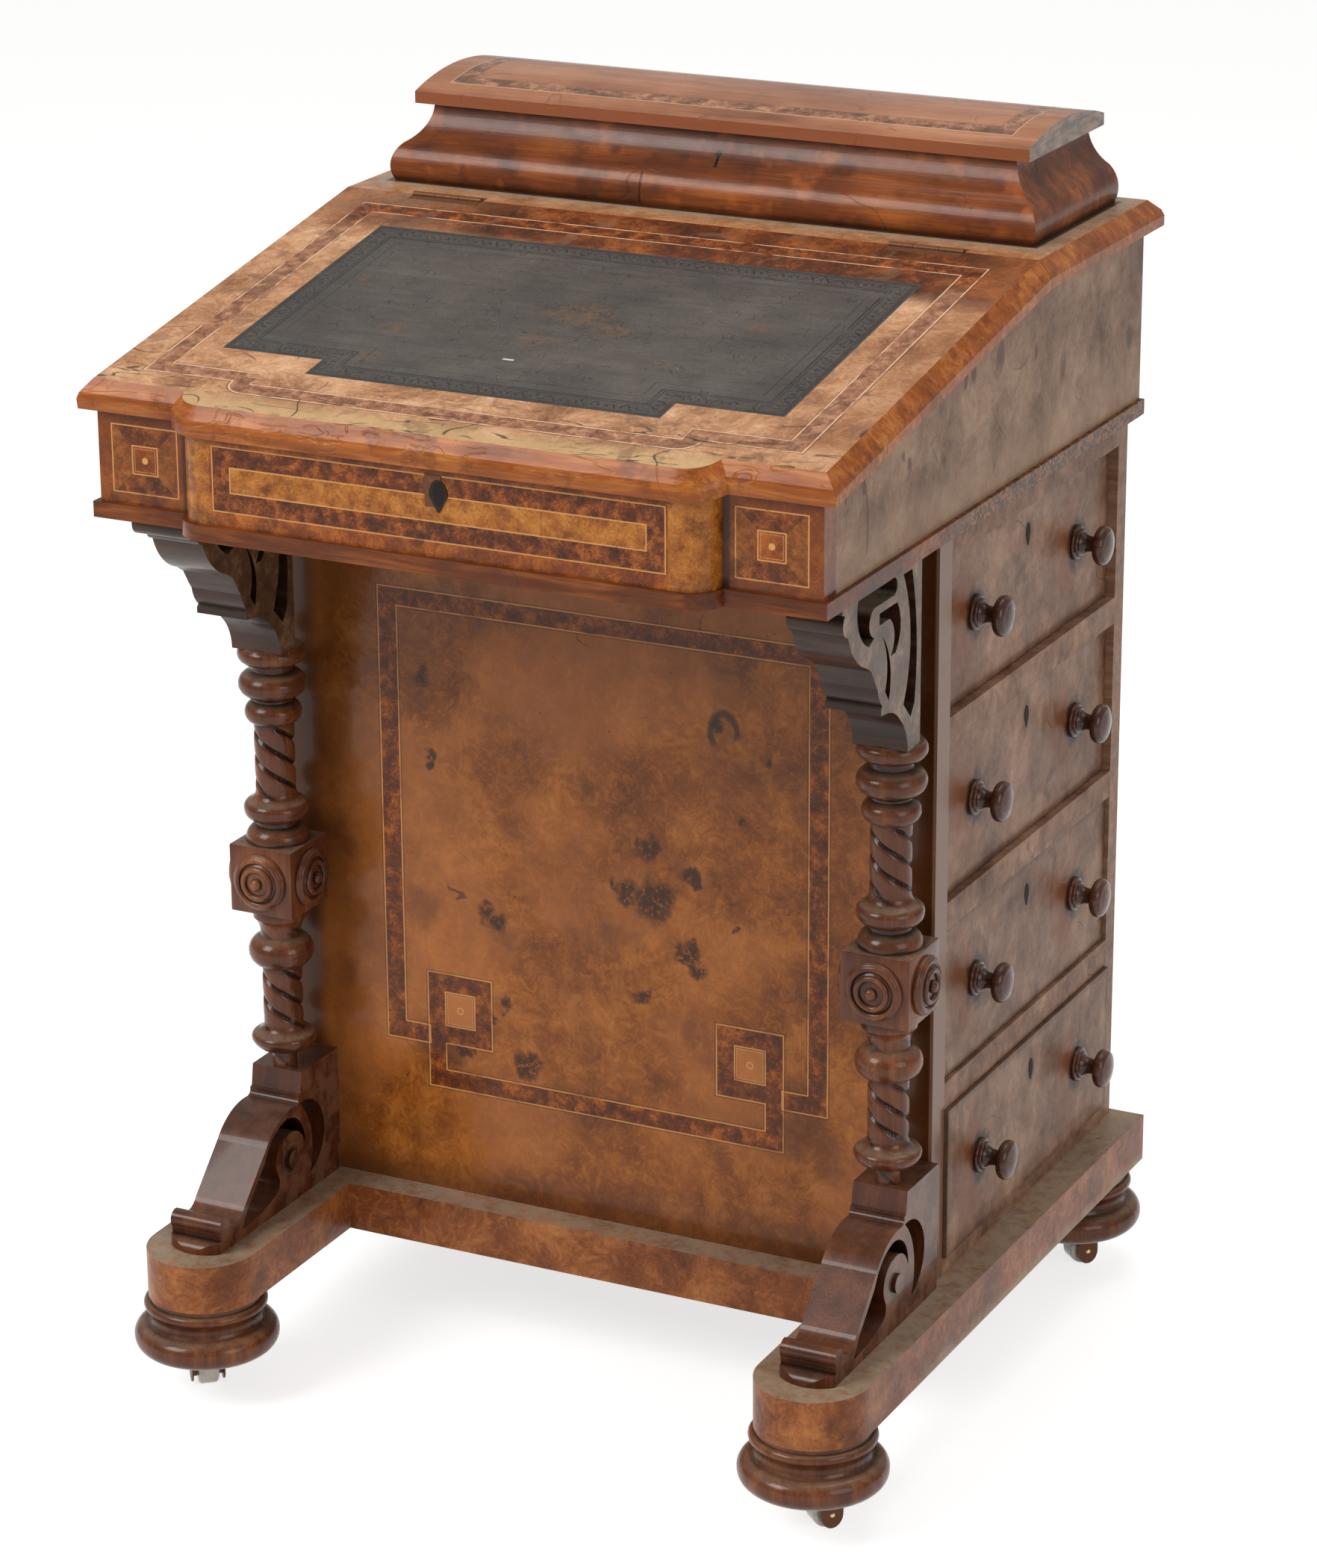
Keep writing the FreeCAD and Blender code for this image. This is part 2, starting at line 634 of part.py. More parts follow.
def box_lid():
    """A plank with a barrel top, worked from the front to the back, and upright ends."""
    front = S.box_front + S.box_lid_front
    low = box_rim + RUN
    edge = low + S.box_lid_edge
    body = padded("BoxLid", "YZ_Plane", (front, low), [
        (front, edge), (((front + S.box_back) / 2, edge + S.box_lid_rise), (S.box_back, edge)),
        (S.box_back, low)], S.box_width - 2 * S.box_lid_in)
    node("box_lid", place(body, S.box_lid_in - S.box_width / 2, 0, 0))


# ---------------------------------------------------------------- pedestal
opening_low = []
height = S.case_floor - S.base_moulding - S.top_rail - S.drawer_opening
for _ in range(4):
    opening_low.append(height)
    height = height - S.drawer_rail - S.drawer_opening
frame_front = S.pedestal_front + S.front_panel
frame_back = S.pedestal_back - S.back_panel
pedestal_top = S.case_floor - S.base_moulding


def rail_heights():
    """Lower and upper face of each rail of the side frame, from the top one down."""
    rails = [(opening_low[0] + S.drawer_opening, pedestal_top)]
    for low in opening_low[1:]:
        rails.append((low + S.drawer_opening, low + S.drawer_opening + S.drawer_rail))
    rails.append((S.sledge_top, opening_low[3]))
    return rails


def knob_bores(name, x, length, z):
    """Holes for the spigots of a pair of knobs."""
    middle = (frame_front + frame_back) / 2
    return [rod(f"{name}Bore{side}", S.knob_neck - 1, length, x, middle + sign * S.knob_spread, z,
                Vector(1, 0, 0)) for side, sign in SIDES.items()]


def pedestal():
    node("pedestal_front_panel", board("PedestalFront", -half_pedestal, half_pedestal, S.pedestal_front,
                                       frame_front, S.sledge_top, pedestal_top))
    node("pedestal_back_panel", board("PedestalBack", -half_pedestal, half_pedestal, frame_back,
                                      S.pedestal_back, S.sledge_top, pedestal_top))
    inner = half_pedestal - S.side_thick
    node("pedestal_left_panel", board("PedestalLeft", S.dummy_thick - half_pedestal, -inner, frame_front,
                                      frame_back, S.sledge_top, pedestal_top))
    rails = []
    for index, (low, high) in enumerate(rail_heights()):
        rails.append(board(f"RailRight{index}", inner, half_pedestal, frame_front, frame_back, low, high))
    node("drawer_rails", *rails)
    rails = []
    for index, (low, high) in enumerate(rail_heights()):
        rails.append(board(f"RailLeft{index}", -half_pedestal, S.dummy_thick - half_pedestal, frame_front,
                           frame_back, low, high))
    for index, low in enumerate(opening_low):
        plain = board(f"DummyFront{index}", 1 - half_pedestal, S.dummy_thick - half_pedestal,
                      frame_front + 1, frame_back - 1, low + 1, low + S.drawer_opening - 1)
        rails.append(cut(f"DummyBored{index}", plain, *knob_bores(
            f"Dummy{index}", -half_pedestal, S.dummy_thick + 1, low + S.drawer_opening / 2)))
    node("dummy_fronts", *rails)
    runners = []
    for index, low in enumerate(opening_low):
        for name, y0, y1 in (("Front", frame_front, frame_front + S.runner_width),
                             ("Back", frame_back - S.runner_width, frame_back)):
            runners.append(board(f"Runner{name}{index}", -inner, inner, y0, y1, low - 12, low))
    node("drawer_runners", *runners)


def knob_shape(name, spigot):
    """A turned knob along +Z: a spigot behind the face, a ringed base, a waist and a domed face."""
    face = S.knob_radius.value
    neck = S.knob_neck.value
    out = S.knob_out.value
    return turned(name, (0, -spigot), [
        (neck - 1, -spigot), (neck - 1, 0), (face, 0), ((face + 0.6, 2.2), (face, 4.4)),
        (face - 2.5, 5), ((face - 3.2, 8), (neck + 1, 10.5)), ((neck - 0.6, 14), (neck + 0.5, out - 10)),
        ((face - 4, out - 9.3), (face, out - 6)), ((face * 0.62, out - 0.9), (0.5, out)), (0, out)])


set_back = [7.5, 6.0, 3.0, -3.0]


def drawers():
    knob = knob_shape("DrawerKnob", S.side_thick.value + 3)
    short = knob_shape("DummyKnob", S.dummy_thick.value - 1)
    middle = (frame_front + frame_back) / 2
    dummies = []
    for index, low in enumerate(opening_low):
        number_text = str(index + 1)
        face = half_pedestal - set_back[index]
        behind = face - S.side_thick
        gap = S.drawer_gap
        high = low + S.drawer_opening - gap
        centre_z = low + S.drawer_opening / 2
        front = board("Front" + number_text, behind, face, frame_front + gap, frame_back - gap,
                      low + gap, high)
        bores = knob_bores("Knob" + number_text, behind - 1, S.side_thick + 2, centre_z)
        node(f"drawer_{number_text}_front", cut("BoredFront" + number_text, front, *bores))
        side_low = low + RUN
        side_high = high - 6
        y0 = frame_front + 3
        y1 = frame_back - 3
        tail = behind - S.drawer_length
        thick = S.drawer_side
        node(f"drawer_{number_text}_carcase",
             board("NearSide" + number_text, tail, behind, y0, y0 + thick, side_low, side_high),
             board("FarSide" + number_text, tail, behind, y1 - thick, y1, side_low, side_high),
             board("DrawerBack" + number_text, tail, tail + thick, y0 + thick, y1 - thick,
                   side_low + 8, side_high - 6),
             board("DrawerBottom" + number_text, tail + thick, behind, y0 + thick, y1 - thick,
                   side_low + 4, side_low + 4 + S.drawer_bottom))
        outward = Rotation(Vector(0, 0, 1), Vector(1, 0, 0))
        inward = Rotation(Vector(0, 0, 1), Vector(-1, 0, 0))
        knobs = []
        for side, sign in SIDES.items():
            y = middle + sign * S.knob_spread
            knobs.append(copy_of(knob, f"Knob{number_text}{side}", face, y, centre_z, outward))
            dummies.append(copy_of(short, f"LeftKnob{number_text}{side}", 1 - half_pedestal, y, centre_z,
                                   inward))
        node(f"drawer_{number_text}_knobs", *knobs)
        node(f"drawer_{number_text}_lock",
             board("DrawerLock" + number_text, behind - S.lock_depth, behind, middle - S.lock_width / 2,
                   middle + S.lock_width / 2, high - S.lock_height - 10, high - 10))
    node("dummy_knobs", *dummies)


# ---------------------------------------------------------------- sledges, plinth, feet
def base():
    half = S.sledge_width / 2
    low = S.sledge_top - S.sledge_thick
    tip = S.sledge_front
    for side, sign in SIDES.items():
        body = padded(f"Sledge{side}", "XY_Plane", (-half, S.sledge_back), [
            (-half, tip + half), ((0, tip), (half, tip + half)), (half, S.sledge_back)], S.sledge_thick)
        node(f"sledge_{side}", place(body, sign * S.sledge_x, 0, low))
    inner = S.sledge_x - half
    node("plinth_rails",
         board("PlinthFront", -inner, inner, S.plinth_front, frame_front, low, S.sledge_top),
         board("PlinthBack", -inner, inner, frame_back, S.pedestal_back, low, S.sledge_top))


def corners():
    """Foot positions: name, x and y."""
    return [(f"{end}_{side}", sign * S.sledge_x, y)
            for end, y in (("front", S.bun_front), ("rear", S.bun_back)) for side, sign in SIDES.items()]


def feet():
    """A turned bun: a flattened ring, a hollow and a bead under the sledge."""
    low = S.bun_foot.value
    top = number(S.sledge_top - S.sledge_thick)
    wide = S.bun_radius.value
    bore = S.swivel_pin.value + RUN.value
    bun = turned("BunFoot", (0, low + 16), [
        (bore, low + 16), (bore, low), (wide - 14, low), ((wide - 2.5, low + 3), (wide, low + 10)),
        ((wide - 2.5, low + 17.5), (wide - 10, low + 20.5)), (wide - 11.5, low + 21),
        ((wide - 13, low + 26), (wide - 11, low + 31)), (wide - 10, low + 31.5),
        ((wide - 7.5, top - 7), (wide - 10, top - 3.5)), (wide - 11.5, top - 3.2), (wide - 11.5, top), (0, top)])
    node("bun_feet", *[copy_of(bun, f"Bun_{name}", x, y, 0) for name, x, y in corners()])


def casters():
    """Brass horns that swivel under the buns, each with a ceramic wheel between two arms."""
    radius = S.wheel_radius.value
    width = S.wheel_width.value
    trail = S.caster_trail.value
    thick = 3.0
    crown_radius = 14.0
    crown_high = number(S.bun_foot - RUN)
    crown_low = crown_high - thick
    half = width / 2 + RUN.value
    crown = rod("Crown", crown_radius, thick, 0, origin_y, crown_low)
    stem = rod("Stem", S.swivel_pin, 14, 0, origin_y, crown_high - 1)
    arms = []
    for name, x in (("LeftArm", -half - thick), ("RightArm", half)):
        arm = padded(name, "YZ_Plane", (-8, crown_high - 1), [
            (-8, crown_low - 3), (trail - 5.5, radius + 1), ((trail, radius - 6), (trail + 5.5, radius + 1)),
            (8, crown_low - 3), (8, crown_high - 1)], thick)
        arms.append(place(arm, x, origin_y, 0))
    axle = rod("Axle", 1.5, 2 * (half + thick) + 1, -half - thick - 0.5, origin_y + trail, radius,
               Vector(1, 0, 0))
    horn = joined_solids("CasterHorn", [crown, stem, axle] + arms)
    wheel = turned("CasterWheel", (1.8, 0), [
        (radius - 3, 0), ((radius - 0.8, 0.9), (radius, 3)), (radius, width - 3),
        ((radius - 0.8, width - 0.9), (radius - 3, width)), (1.8, width)])
    place(wheel, -width / 2, origin_y + trail, radius, Rotation(Vector(0, 0, 1), Vector(1, 0, 0)))
    for name, x, y in corners():
        turn = Rotation(Vector(0, 0, 1), -math.copysign(S.caster_turn.value, x.value))
        node(f"caster_horn_{name}", copy_of(horn, f"Horn_{name}", x, y, 0, turn))
        node(f"caster_wheel_{name}", copy_of(wheel, f"Wheel_{name}", x, y, 0, turn))


# ---------------------------------------------------------------- columns
def columns():
    foot = S.column_foot.value
    low = S.block_low.value
    high = low + S.block_size.value
    head = S.column_head.value
    wide = S.column_radius.value
    waist = S.shaft_radius.value
    lower = [
        (9, foot), (9, foot + 13), ((wide - 5, foot + 15), (wide - 1.4, foot + 19.5)),
        ((wide - 0.9, foot + 23), (wide - 3.5, foot + 26)), ((waist + 1.6, foot + 29), (waist, foot + 36)),
        (waist, low - 46), (waist + 1.5, low - 45.5), ((wide - 0.8, low - 34), (waist + 1.5, low - 22.5)),
        (waist + 0.5, low - 22), ((waist + 1, low - 15), (wide - 6, low - 9)), (wide - 5, low - 8),
        (wide - 5, low)]
    upper = [
        (wide - 2, high), ((wide - 2.4, high + 5), (waist + 3, high + 11)), (waist + 0.5, high + 12),
        (waist + 0.5, high + 15.5), (waist + 3, high + 16), ((wide - 3, high + 18.5), (wide - 1.2, high + 23)),
        ((wide - 1.3, high + 26.5), (wide - 4, high + 30)), ((waist + 1.7, high + 33), (waist, high + 38)),
        (waist, head - 58), (waist + 1.5, head - 57.5), ((wide - 4, head - 49.5), (waist + 1.5, head - 42)),
        (waist, head - 41), (waist, head - 39.5), (waist + 1.2, head - 38),
        ((wide, head - 28.5), (waist + 1.2, head - 19)), (waist + 0.5, head - 18.5),
        (waist + 0.5, head - 14.5), (wide - 6, head - 13), ((wide, head - 6.5), (wide - 3, head)), (0, head)]
    half = S.block_size / 2
    rosette_ring = S.rosette_radius.value
    rosette = turned("Rosette", (0, 0), [
        (rosette_ring, 0), ((rosette_ring + 0.4, 2.2), (rosette_ring - 1, 4)),
        ((rosette_ring - 3, 5.6), (rosette_ring - 6, 4)), (rosette_ring - 7.5, 5),
        ((rosette_ring - 9.5, 7.5), (rosette_ring - 12, 5.2)), (4.5, 5.6), ((3.4, 9), (0.5, 10)), (0, 10)])
    roundels = []
    for side, sign in SIDES.items():
        shaft = turned(f"Shaft{side}", (0, foot), lower + upper)
        block = board(f"Block{side}", sign * S.sledge_x - half, sign * S.sledge_x + half,
                      S.column_y - half, S.column_y + half, S.block_low, S.block_low + S.block_size)
        place(shaft, sign * S.sledge_x, S.column_y, 0)
        node(f"column_{side}", joined_solids(f"Column{side}", [shaft, block]))
        middle = S.block_low + half
        for name, facing, x, y in (("Front", Vector(0, -1, 0), 0, -half),
                                   ("Outer", Vector(sign, 0, 0), sign * half, 0),
                                   ("Inner", Vector(-sign, 0, 0), -sign * half, 0)):
            roundels.append(copy_of(rosette, f"Rosette{name}{side}", sign * S.sledge_x + x,
                                    S.column_y + y, middle, Rotation(Vector(0, 0, 1), facing)))
    node("rosettes", *roundels)


# ---------------------------------------------------------------- fretted brackets and scroll feet
def bracket_outline():
    """The bracket from the side, front edge first: two hollow steps down to the column."""
    top = number(pedestal_top)
    foot = S.column_head.value
    back = S.column_y.value
    return (back, top), [
        (42, top), (42, top - 11), (46, top - 12.5), ((43, top - 20), (47, top - 27)), (51, top - 28.5),
        ((62, top - 46), (80, top - 57)), (88, top - 62), (95, top - 73), (98, top - 77),
        ((101, top - 85), (106, top - 91)), (104, top - 92.5), (104, top - 97), (112, top - 98),
        ((126, top - 102), (136, top - 110)), ((144, top - 120), (148, foot)), (back, foot)]


def brackets():
    """Each bracket is a block pierced with a fret saw: a scroll at the top and lancets below it."""
    top = number(pedestal_top)
    half = S.bracket_width / 2
    fret = {
        "Scroll": ((66, top - 8), [(120, top - 8), ((128, top - 14), (120, top - 20)), (92, top - 20),
                                   ((84, top - 30), (92, top - 40)), (84, top - 44), ((68, top - 30), (66, top - 8))]),
        "Tongue": ((100, top - 26), [(128, top - 26), ((134, top - 44), (126, top - 60)), (118, top - 60),
                                     ((124, top - 46), (116, top - 34)), (100, top - 34)]),
        "Lancet": ((104, top - 42), [((112, top - 58), (110, top - 82)), (116, top - 90),
                                     ((118, top - 66), (104, top - 42))]),
        "Slit": ((138, top - 10), [((150, top - 50), (140, top - 100)), (152, top - 112), (158, top - 104),
                                   ((160, top - 50), (152, top - 10))]),
    }
    for side, sign in SIDES.items():
        body = padded(f"Bracket{side}", "YZ_Plane", *bracket_outline(), S.bracket_width)
        for name, (start, steps) in fret.items():
            pocketed(body, "YZ_Plane", f"{name}{side}", start, steps)
        place(body, sign * S.sledge_x - half, 0, 0)
        whole = body
        if sign < 0:
            roll = rod("BracketRoll", 8, S.bracket_width + 4, sign * S.sledge_x - half - 2, 37, top - 13,
                       Vector(1, 0, 0))
            whole = joined_solids("RolledBracket", [body, roll])
        node(f"bracket_{side}", whole)


def scroll_feet():
    """A strap that falls from the column's seat to a roll, and curls over behind into a volute."""
    floor = S.sledge_top.value
    seat = S.column_foot.value
    back = S.pedestal_front.value
    half = S.scroll_width / 2
    start = (back, floor)
    steps = [
        (back, seat), (156, seat), (153.5, seat - 16), (151, seat - 17),
        ((150.5, seat - 20.5), (147, seat - 22.5)), ((124, seat - 25.5), (104, floor + 55.5)),
        (72, floor + 23.5), ((65, floor + 17.5), (56, floor + 16.5)), (51, floor + 19),
        ((44, floor + 25.5), (38.5, floor + 15)), (39.5, floor + 9), ((31, floor + 6), (29, floor))]
    crescent = [((186, floor + 43.5), (164, floor + 13.5)), ((168.5, floor + 39.5), (152, floor + 72.5))]
    hollow = [
        (76, floor + 20), (102, floor + 46), ((114, floor + 60), (131, floor + 67)),
        ((151, floor + 59.5), (158, floor + 38.5)), ((147, floor + 53), (133, floor + 54)),
        ((118.5, floor + 44.5), (120, floor + 27.5)), ((121, floor + 20.5), (117, floor + 15)),
        (96, floor + 9)]
    for side, sign in SIDES.items():
        body = padded(f"Scroll{side}", "YZ_Plane", start, steps, S.scroll_width)
        pocketed(body, "YZ_Plane", f"Crescent{side}", (152, floor + 72.5), crescent)
        pocketed(body, "YZ_Plane", f"Hollow{side}", (68, floor + 7), hollow)
        place(body, sign * S.sledge_x - half, 0, 0)
        wide = half.value
        plan = padded(f"ScrollPlan{side}", "XY_Plane", (-wide, back), [
            (-wide, 37.5), ((0, 29), (wide, 37.5)), (wide, back)], S.column_foot - S.sledge_top)
        place(plan, sign * S.sledge_x, 0, S.sledge_top)
        rounded = common(f"RoundedScroll{side}", body, plan)
        bead = rod(f"VoluteEye{side}", 7, S.scroll_width + 5, sign * S.sledge_x - half - 2.5, 138,
                   S.sledge_top + 34.5, Vector(1, 0, 0))
        node(f"scroll_foot_{side}", joined_solids(f"ScrollFoot{side}", [rounded, bead]))


# ---------------------------------------------------------------- build and write
for make in (case, base_moulding, top_board, slope_lid, box_carcase, box_lid, fittings, pedestal, drawers,
             base, feet, casters, columns, brackets, scroll_feet):
    make()
doc.recompute()

failed = [thing.Name for thing in doc.Objects if "Invalid" in thing.State or "Error" in thing.State]
if failed:
    raise RuntimeError(f"these did not compute: {failed}")
for name, whole in nodes.items():
    if whole.Shape.isNull() or not whole.Shape.isValid() or not whole.Shape.Solids:
        raise RuntimeError(f"{name} has no valid solid")

os.makedirs("parts", exist_ok=True)
for name, whole in nodes.items():
    whole.Shape.exportStep(f"parts/{name}.step")
print(len(nodes), "nodes written")
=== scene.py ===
# %% [markdown]
# # A walnut davenport desk
# A davenport is a small writing desk: a case with a sloping, leather-topped lid stands on a pedestal of
# side drawers, and its front is carried by turned columns on scroll feet. The construction comes packed
# from CAD and is loaded here as a fixed frame. This lesson gives every piece its finish, and makes again
# the pieces whose carving the CAD leaves plain.

# %% Load the frame
import math
from functools import partialmethod, reduce

import bmesh
import bpy
from mathutils import Matrix, Vector


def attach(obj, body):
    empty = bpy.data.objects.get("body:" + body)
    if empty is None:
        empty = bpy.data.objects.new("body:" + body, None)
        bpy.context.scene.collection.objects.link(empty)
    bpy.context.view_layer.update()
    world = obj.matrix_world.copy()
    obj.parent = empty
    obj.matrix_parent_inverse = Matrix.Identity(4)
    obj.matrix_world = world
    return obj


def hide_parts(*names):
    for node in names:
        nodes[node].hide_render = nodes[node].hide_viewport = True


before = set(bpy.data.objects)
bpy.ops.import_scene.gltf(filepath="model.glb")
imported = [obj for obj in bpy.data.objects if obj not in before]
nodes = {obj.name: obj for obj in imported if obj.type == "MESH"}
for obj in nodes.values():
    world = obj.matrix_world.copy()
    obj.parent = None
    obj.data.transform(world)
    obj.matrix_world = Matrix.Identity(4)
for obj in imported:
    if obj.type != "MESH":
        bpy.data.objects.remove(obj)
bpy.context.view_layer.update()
print(len(nodes), "pieces come from the frame")

# %% [markdown]
# ## The camera
# The desk is seen from a little right of centre and from above, through a long lens. The lens and the
# place come from the desk's own corners: a long lens keeps the uprights nearly parallel.

# %% Camera
MM = 0.001
QUARTER = math.pi / 2
FRONT_MM = 270.4            # the frame's origin lies this far behind the apron's face
FRONT = FRONT_MM * MM
AZIMUTH = math.radians(26.64)
ELEVATION = math.radians(19.555)
ROLL = math.radians(-0.360)
LENS_MM = 131.88
SENSOR_MM = 36.0
camera_place = Vector((1.4630, -2.6170 - FRONT, 1.5781))
scene = bpy.context.scene


def stand(name, data):
    """A new object, linked into the scene."""
    made = bpy.data.objects.new(name, data)
    scene.collection.objects.link(made)
    return made


look = Vector((-math.sin(AZIMUTH) * math.cos(ELEVATION), math.cos(AZIMUTH) * math.cos(ELEVATION),
               -math.sin(ELEVATION)))
level_right = Vector((math.cos(AZIMUTH), math.sin(AZIMUTH), 0))
level_up = level_right.cross(look)
right = level_right * math.cos(ROLL) + level_up * math.sin(ROLL)
up = level_up * math.cos(ROLL) - level_right * math.sin(ROLL)
camera_data = bpy.data.cameras.new("studio_camera")
camera_data.lens = LENS_MM
camera_data.sensor_width = SENSOR_MM
camera_data.sensor_fit = "HORIZONTAL"
camera = stand("studio_camera", camera_data)
turn = Matrix((right, up, -look)).transposed().to_4x4()
camera.matrix_world = Matrix.Translation(camera_place) @ turn
scene.camera = camera
print("camera", round(math.degrees(AZIMUTH), 1), "degrees round and", round(LENS_MM), "mm long")

# %% [markdown]
# ## Writing shader maths
# Inlay is drawn with sums on the object's own coordinates. Wiring dozens of Math nodes by hand hides
# the idea, so `Wire` wraps one socket and lets Python's operators add the nodes. `Board` adds nodes to any
# tree, and `Paint` is a board with the coordinates, noises and colours of one material.

# %% Shader helper
class Wire:
    """One value in a node tree; arithmetic on it adds Math nodes."""

    def __init__(self, board, socket):
        self.board = board
        self.socket = socket

    def math(self, operation, *others):
        return self.board.node("ShaderNodeMath", dict(enumerate((self, *others))), operation=operation)

    __add__ = partialmethod(math, "ADD")
    __sub__ = partialmethod(math, "SUBTRACT")
    __mul__ = partialmethod(math, "MULTIPLY")
    __truediv__ = partialmethod(math, "DIVIDE")
    __abs__ = partialmethod(math, "ABSOLUTE")
    root = partialmethod(math, "SQRT")
    low = partialmethod(math, "MINIMUM")
    high = partialmethod(math, "MAXIMUM")

    def __rsub__(self, other):
        return (self * -1) + other

    def rises(self, start, end):
        """0 before start and 1 after end, with a smooth step between; a falling step has start > end."""
        if start > end:
            return 1 - self.rises(end, start)
        return self.board.node("ShaderNodeMapRange", {"Value": self, "From Min": start, "From Max": end},
                               interpolation_type="SMOOTHSTEP")


class Board:
    """The node tree of a material or a world."""

    def __init__(self, owner):
        owner.use_nodes = True
        self.tree = owner.node_tree
        self.tree.nodes.clear()

    def node(self, kind, values=None, out=0, **settings):
        """Any node: its settings, the values or links of its sockets, and the output to go on with."""
        made = self.tree.nodes.new(kind)
        for name, value in settings.items():
            setattr(made, name, value)
        for name, value in (values or {}).items():
            if isinstance(value, Wire):
                self.tree.links.new(value.socket, made.inputs[name])
            else:
                made.inputs[name].default_value = value
        return Wire(self, made.outputs[out]) if made.outputs else None


def linear(colour):
    """A screen colour, three numbers from 0 to 255, as the shader wants it; a wire stays as it is."""
    if isinstance(colour, Wire):
        return colour
    shares = [value / 255 for value in colour]
    return (*(share / 12.92 if share <= 0.04045 else ((share + 0.055) / 1.055) ** 2.4
              for share in shares), 1.0)


class Paint(Board):
    """A material under construction. Its coordinates are the piece's own, in millimetres."""

    def __init__(self, name):
        self.material = bpy.data.materials.new(name)
        super().__init__(self.material)
        self.point = self.vector("SCALE", self.node("ShaderNodeTexCoord", out="Object"), 1 / MM)
        parts = self.node("ShaderNodeSeparateXYZ", {0: self.point}).socket.node.outputs
        self.x, y, self.z = (Wire(self, part) for part in parts)
        self.deep = y + FRONT_MM        # counted from the apron's face

    def facing(self, axis):
        """How far a face looks along one axis: 1 is straight along it and -1 straight back."""
        normal = self.node("ShaderNodeTexCoord", out="Normal")
        return self.node("ShaderNodeSeparateXYZ", {0: normal}, axis)

    def vector(self, operation, first, second, out=0):
        """Maths on a vector; only SCALE takes a single number."""
        values = {0: first, "Scale" if operation == "SCALE" else 1: second}
        return self.node("ShaderNodeVectorMath", values, out, operation=operation)

    def moved(self, *by):
        return self.vector("ADD", self.point, by)

    def seeded(self, seed):
        """Another part of the same pattern."""
        return self.moved(seed, seed * 0.7, seed * 0.4)

    def stretched(self, vector, *by):
        return self.vector("MULTIPLY", vector, by)

    def noise(self, vector, grain, detail=3.0, roughness=0.5, distortion=0.0, out="Fac"):
        """Noise whose lumps are about `grain` millimetres across; a tuple as vector is a shift."""
        if isinstance(vector, tuple):
            vector = self.moved(*vector)
        return self.node("ShaderNodeTexNoise", {"Vector": vector, "Scale": 1 / grain, "Detail": detail,
                                                "Roughness": roughness, "Distortion": distortion}, out)

    def mottle(self, *size):
        """Noise straight on the piece's own coordinates."""
        return self.noise(self.point, *size)

    def cells(self, vector, grain):
        """How far the nearest of many scattered points is; they stand about `grain` millimetres apart."""
        return self.node("ShaderNodeTexVoronoi", {"Vector": vector, "Scale": 1 / grain}, "Distance")

    def warped(self, vector, grain, amount):
        """The same coordinates, pushed about by a slow noise."""
        swirl = self.vector("ADD", self.noise(vector, grain, 2.0, out="Color"), (-0.5, -0.5, -0.5))
        return self.vector("ADD", vector, self.vector("SCALE", swirl, amount))

    def mix(self, share, first, second):
        """One colour over another; sockets 6 and 7 are the colours and output 2 is the result."""
        return self.node("ShaderNodeMix", {0: share, 6: linear(first), 7: linear(second)}, 2,
                         data_type="RGBA")

    def coats(self, colour, *layers):
        """Thin coats over a colour, one after another; each is a share and a colour."""
        for share, coat in layers:
            colour = self.mix(share, colour, coat)
        return colour

    def crevice(self, reach):
        """1 in the open and lower in the piece's own hollows, out to `reach` millimetres; it places dirt
        and painted shade.
        """
        return self.node("ShaderNodeAmbientOcclusion", {"Distance": reach * MM}, "AO", only_local=True,
                         samples=3)

    def ramp(self, value, *stops):
        """Colours along a value; each stop is a place and a colour."""
        made = self.node("ShaderNodeValToRGB", {"Fac": value})
        elements = made.socket.node.color_ramp.elements
        while len(elements) < len(stops):
            elements.new(0.5)
        for element, (position, colour) in zip(elements, stops):
            element.position = position
            element.color = linear(colour)
        return made

    def finish(self, colour, roughness, bump, depth=0.3, metallic=0.0, coat=0.0, specular=0.22):
        """Wires the shader; bump is a height in millimetres, taken `depth` times."""
        relief = self.node("ShaderNodeBump", {"Height": bump, "Distance": depth * MM, "Strength": 1.0},
                           "Normal")
        shader = self.node("ShaderNodeBsdfPrincipled", {
            "Base Color": colour, "Roughness": roughness, "Metallic": metallic, "Coat Weight": coat,
            "Specular IOR Level": specular, "Normal": relief})
        self.node("ShaderNodeOutputMaterial", {"Surface": shader})
        return self.material


def within(value, start, end, soft=0.15):
    """1 where a value lies between start and end."""
    return value.rises(start - soft, start + soft) * value.rises(end + soft, end - soft)


def in_box(across, along, x0, x1, y0, y1, soft=0.15):
    return within(across, x0, x1, soft) * within(along, y0, y1, soft)


def hypot(across, along, weight=None):
    """How far a point lies from zero; a weight makes the second way count for more or less."""
    other = along * along
    return (across * across + (other * weight if weight else other)).root()


def strongest(*wires):
    """The highest of several values at each point."""
    return reduce(Wire.high, wires)


def inset(across, along, x0, x1, y0, y1, radius=0.0):
    """How deep inside a rectangle a point lies; a radius rounds its corners."""
    past_x = abs(across - (x0 + x1) / 2) - ((x1 - x0) / 2 - radius)
    past_y = abs(along - (y0 + y1) / 2) - ((y1 - y0) / 2 - radius)
    if not radius:
        return past_x.high(past_y) * -1
    return radius - hypot(past_x.high(0), past_y.high(0)) - past_x.high(past_y).low(0)


def string_at(depth, at, wide=0.9):
    """A thin inlaid line that follows an outline, some depth inside it."""
    return within(depth, at - wide / 2, at + wide / 2)


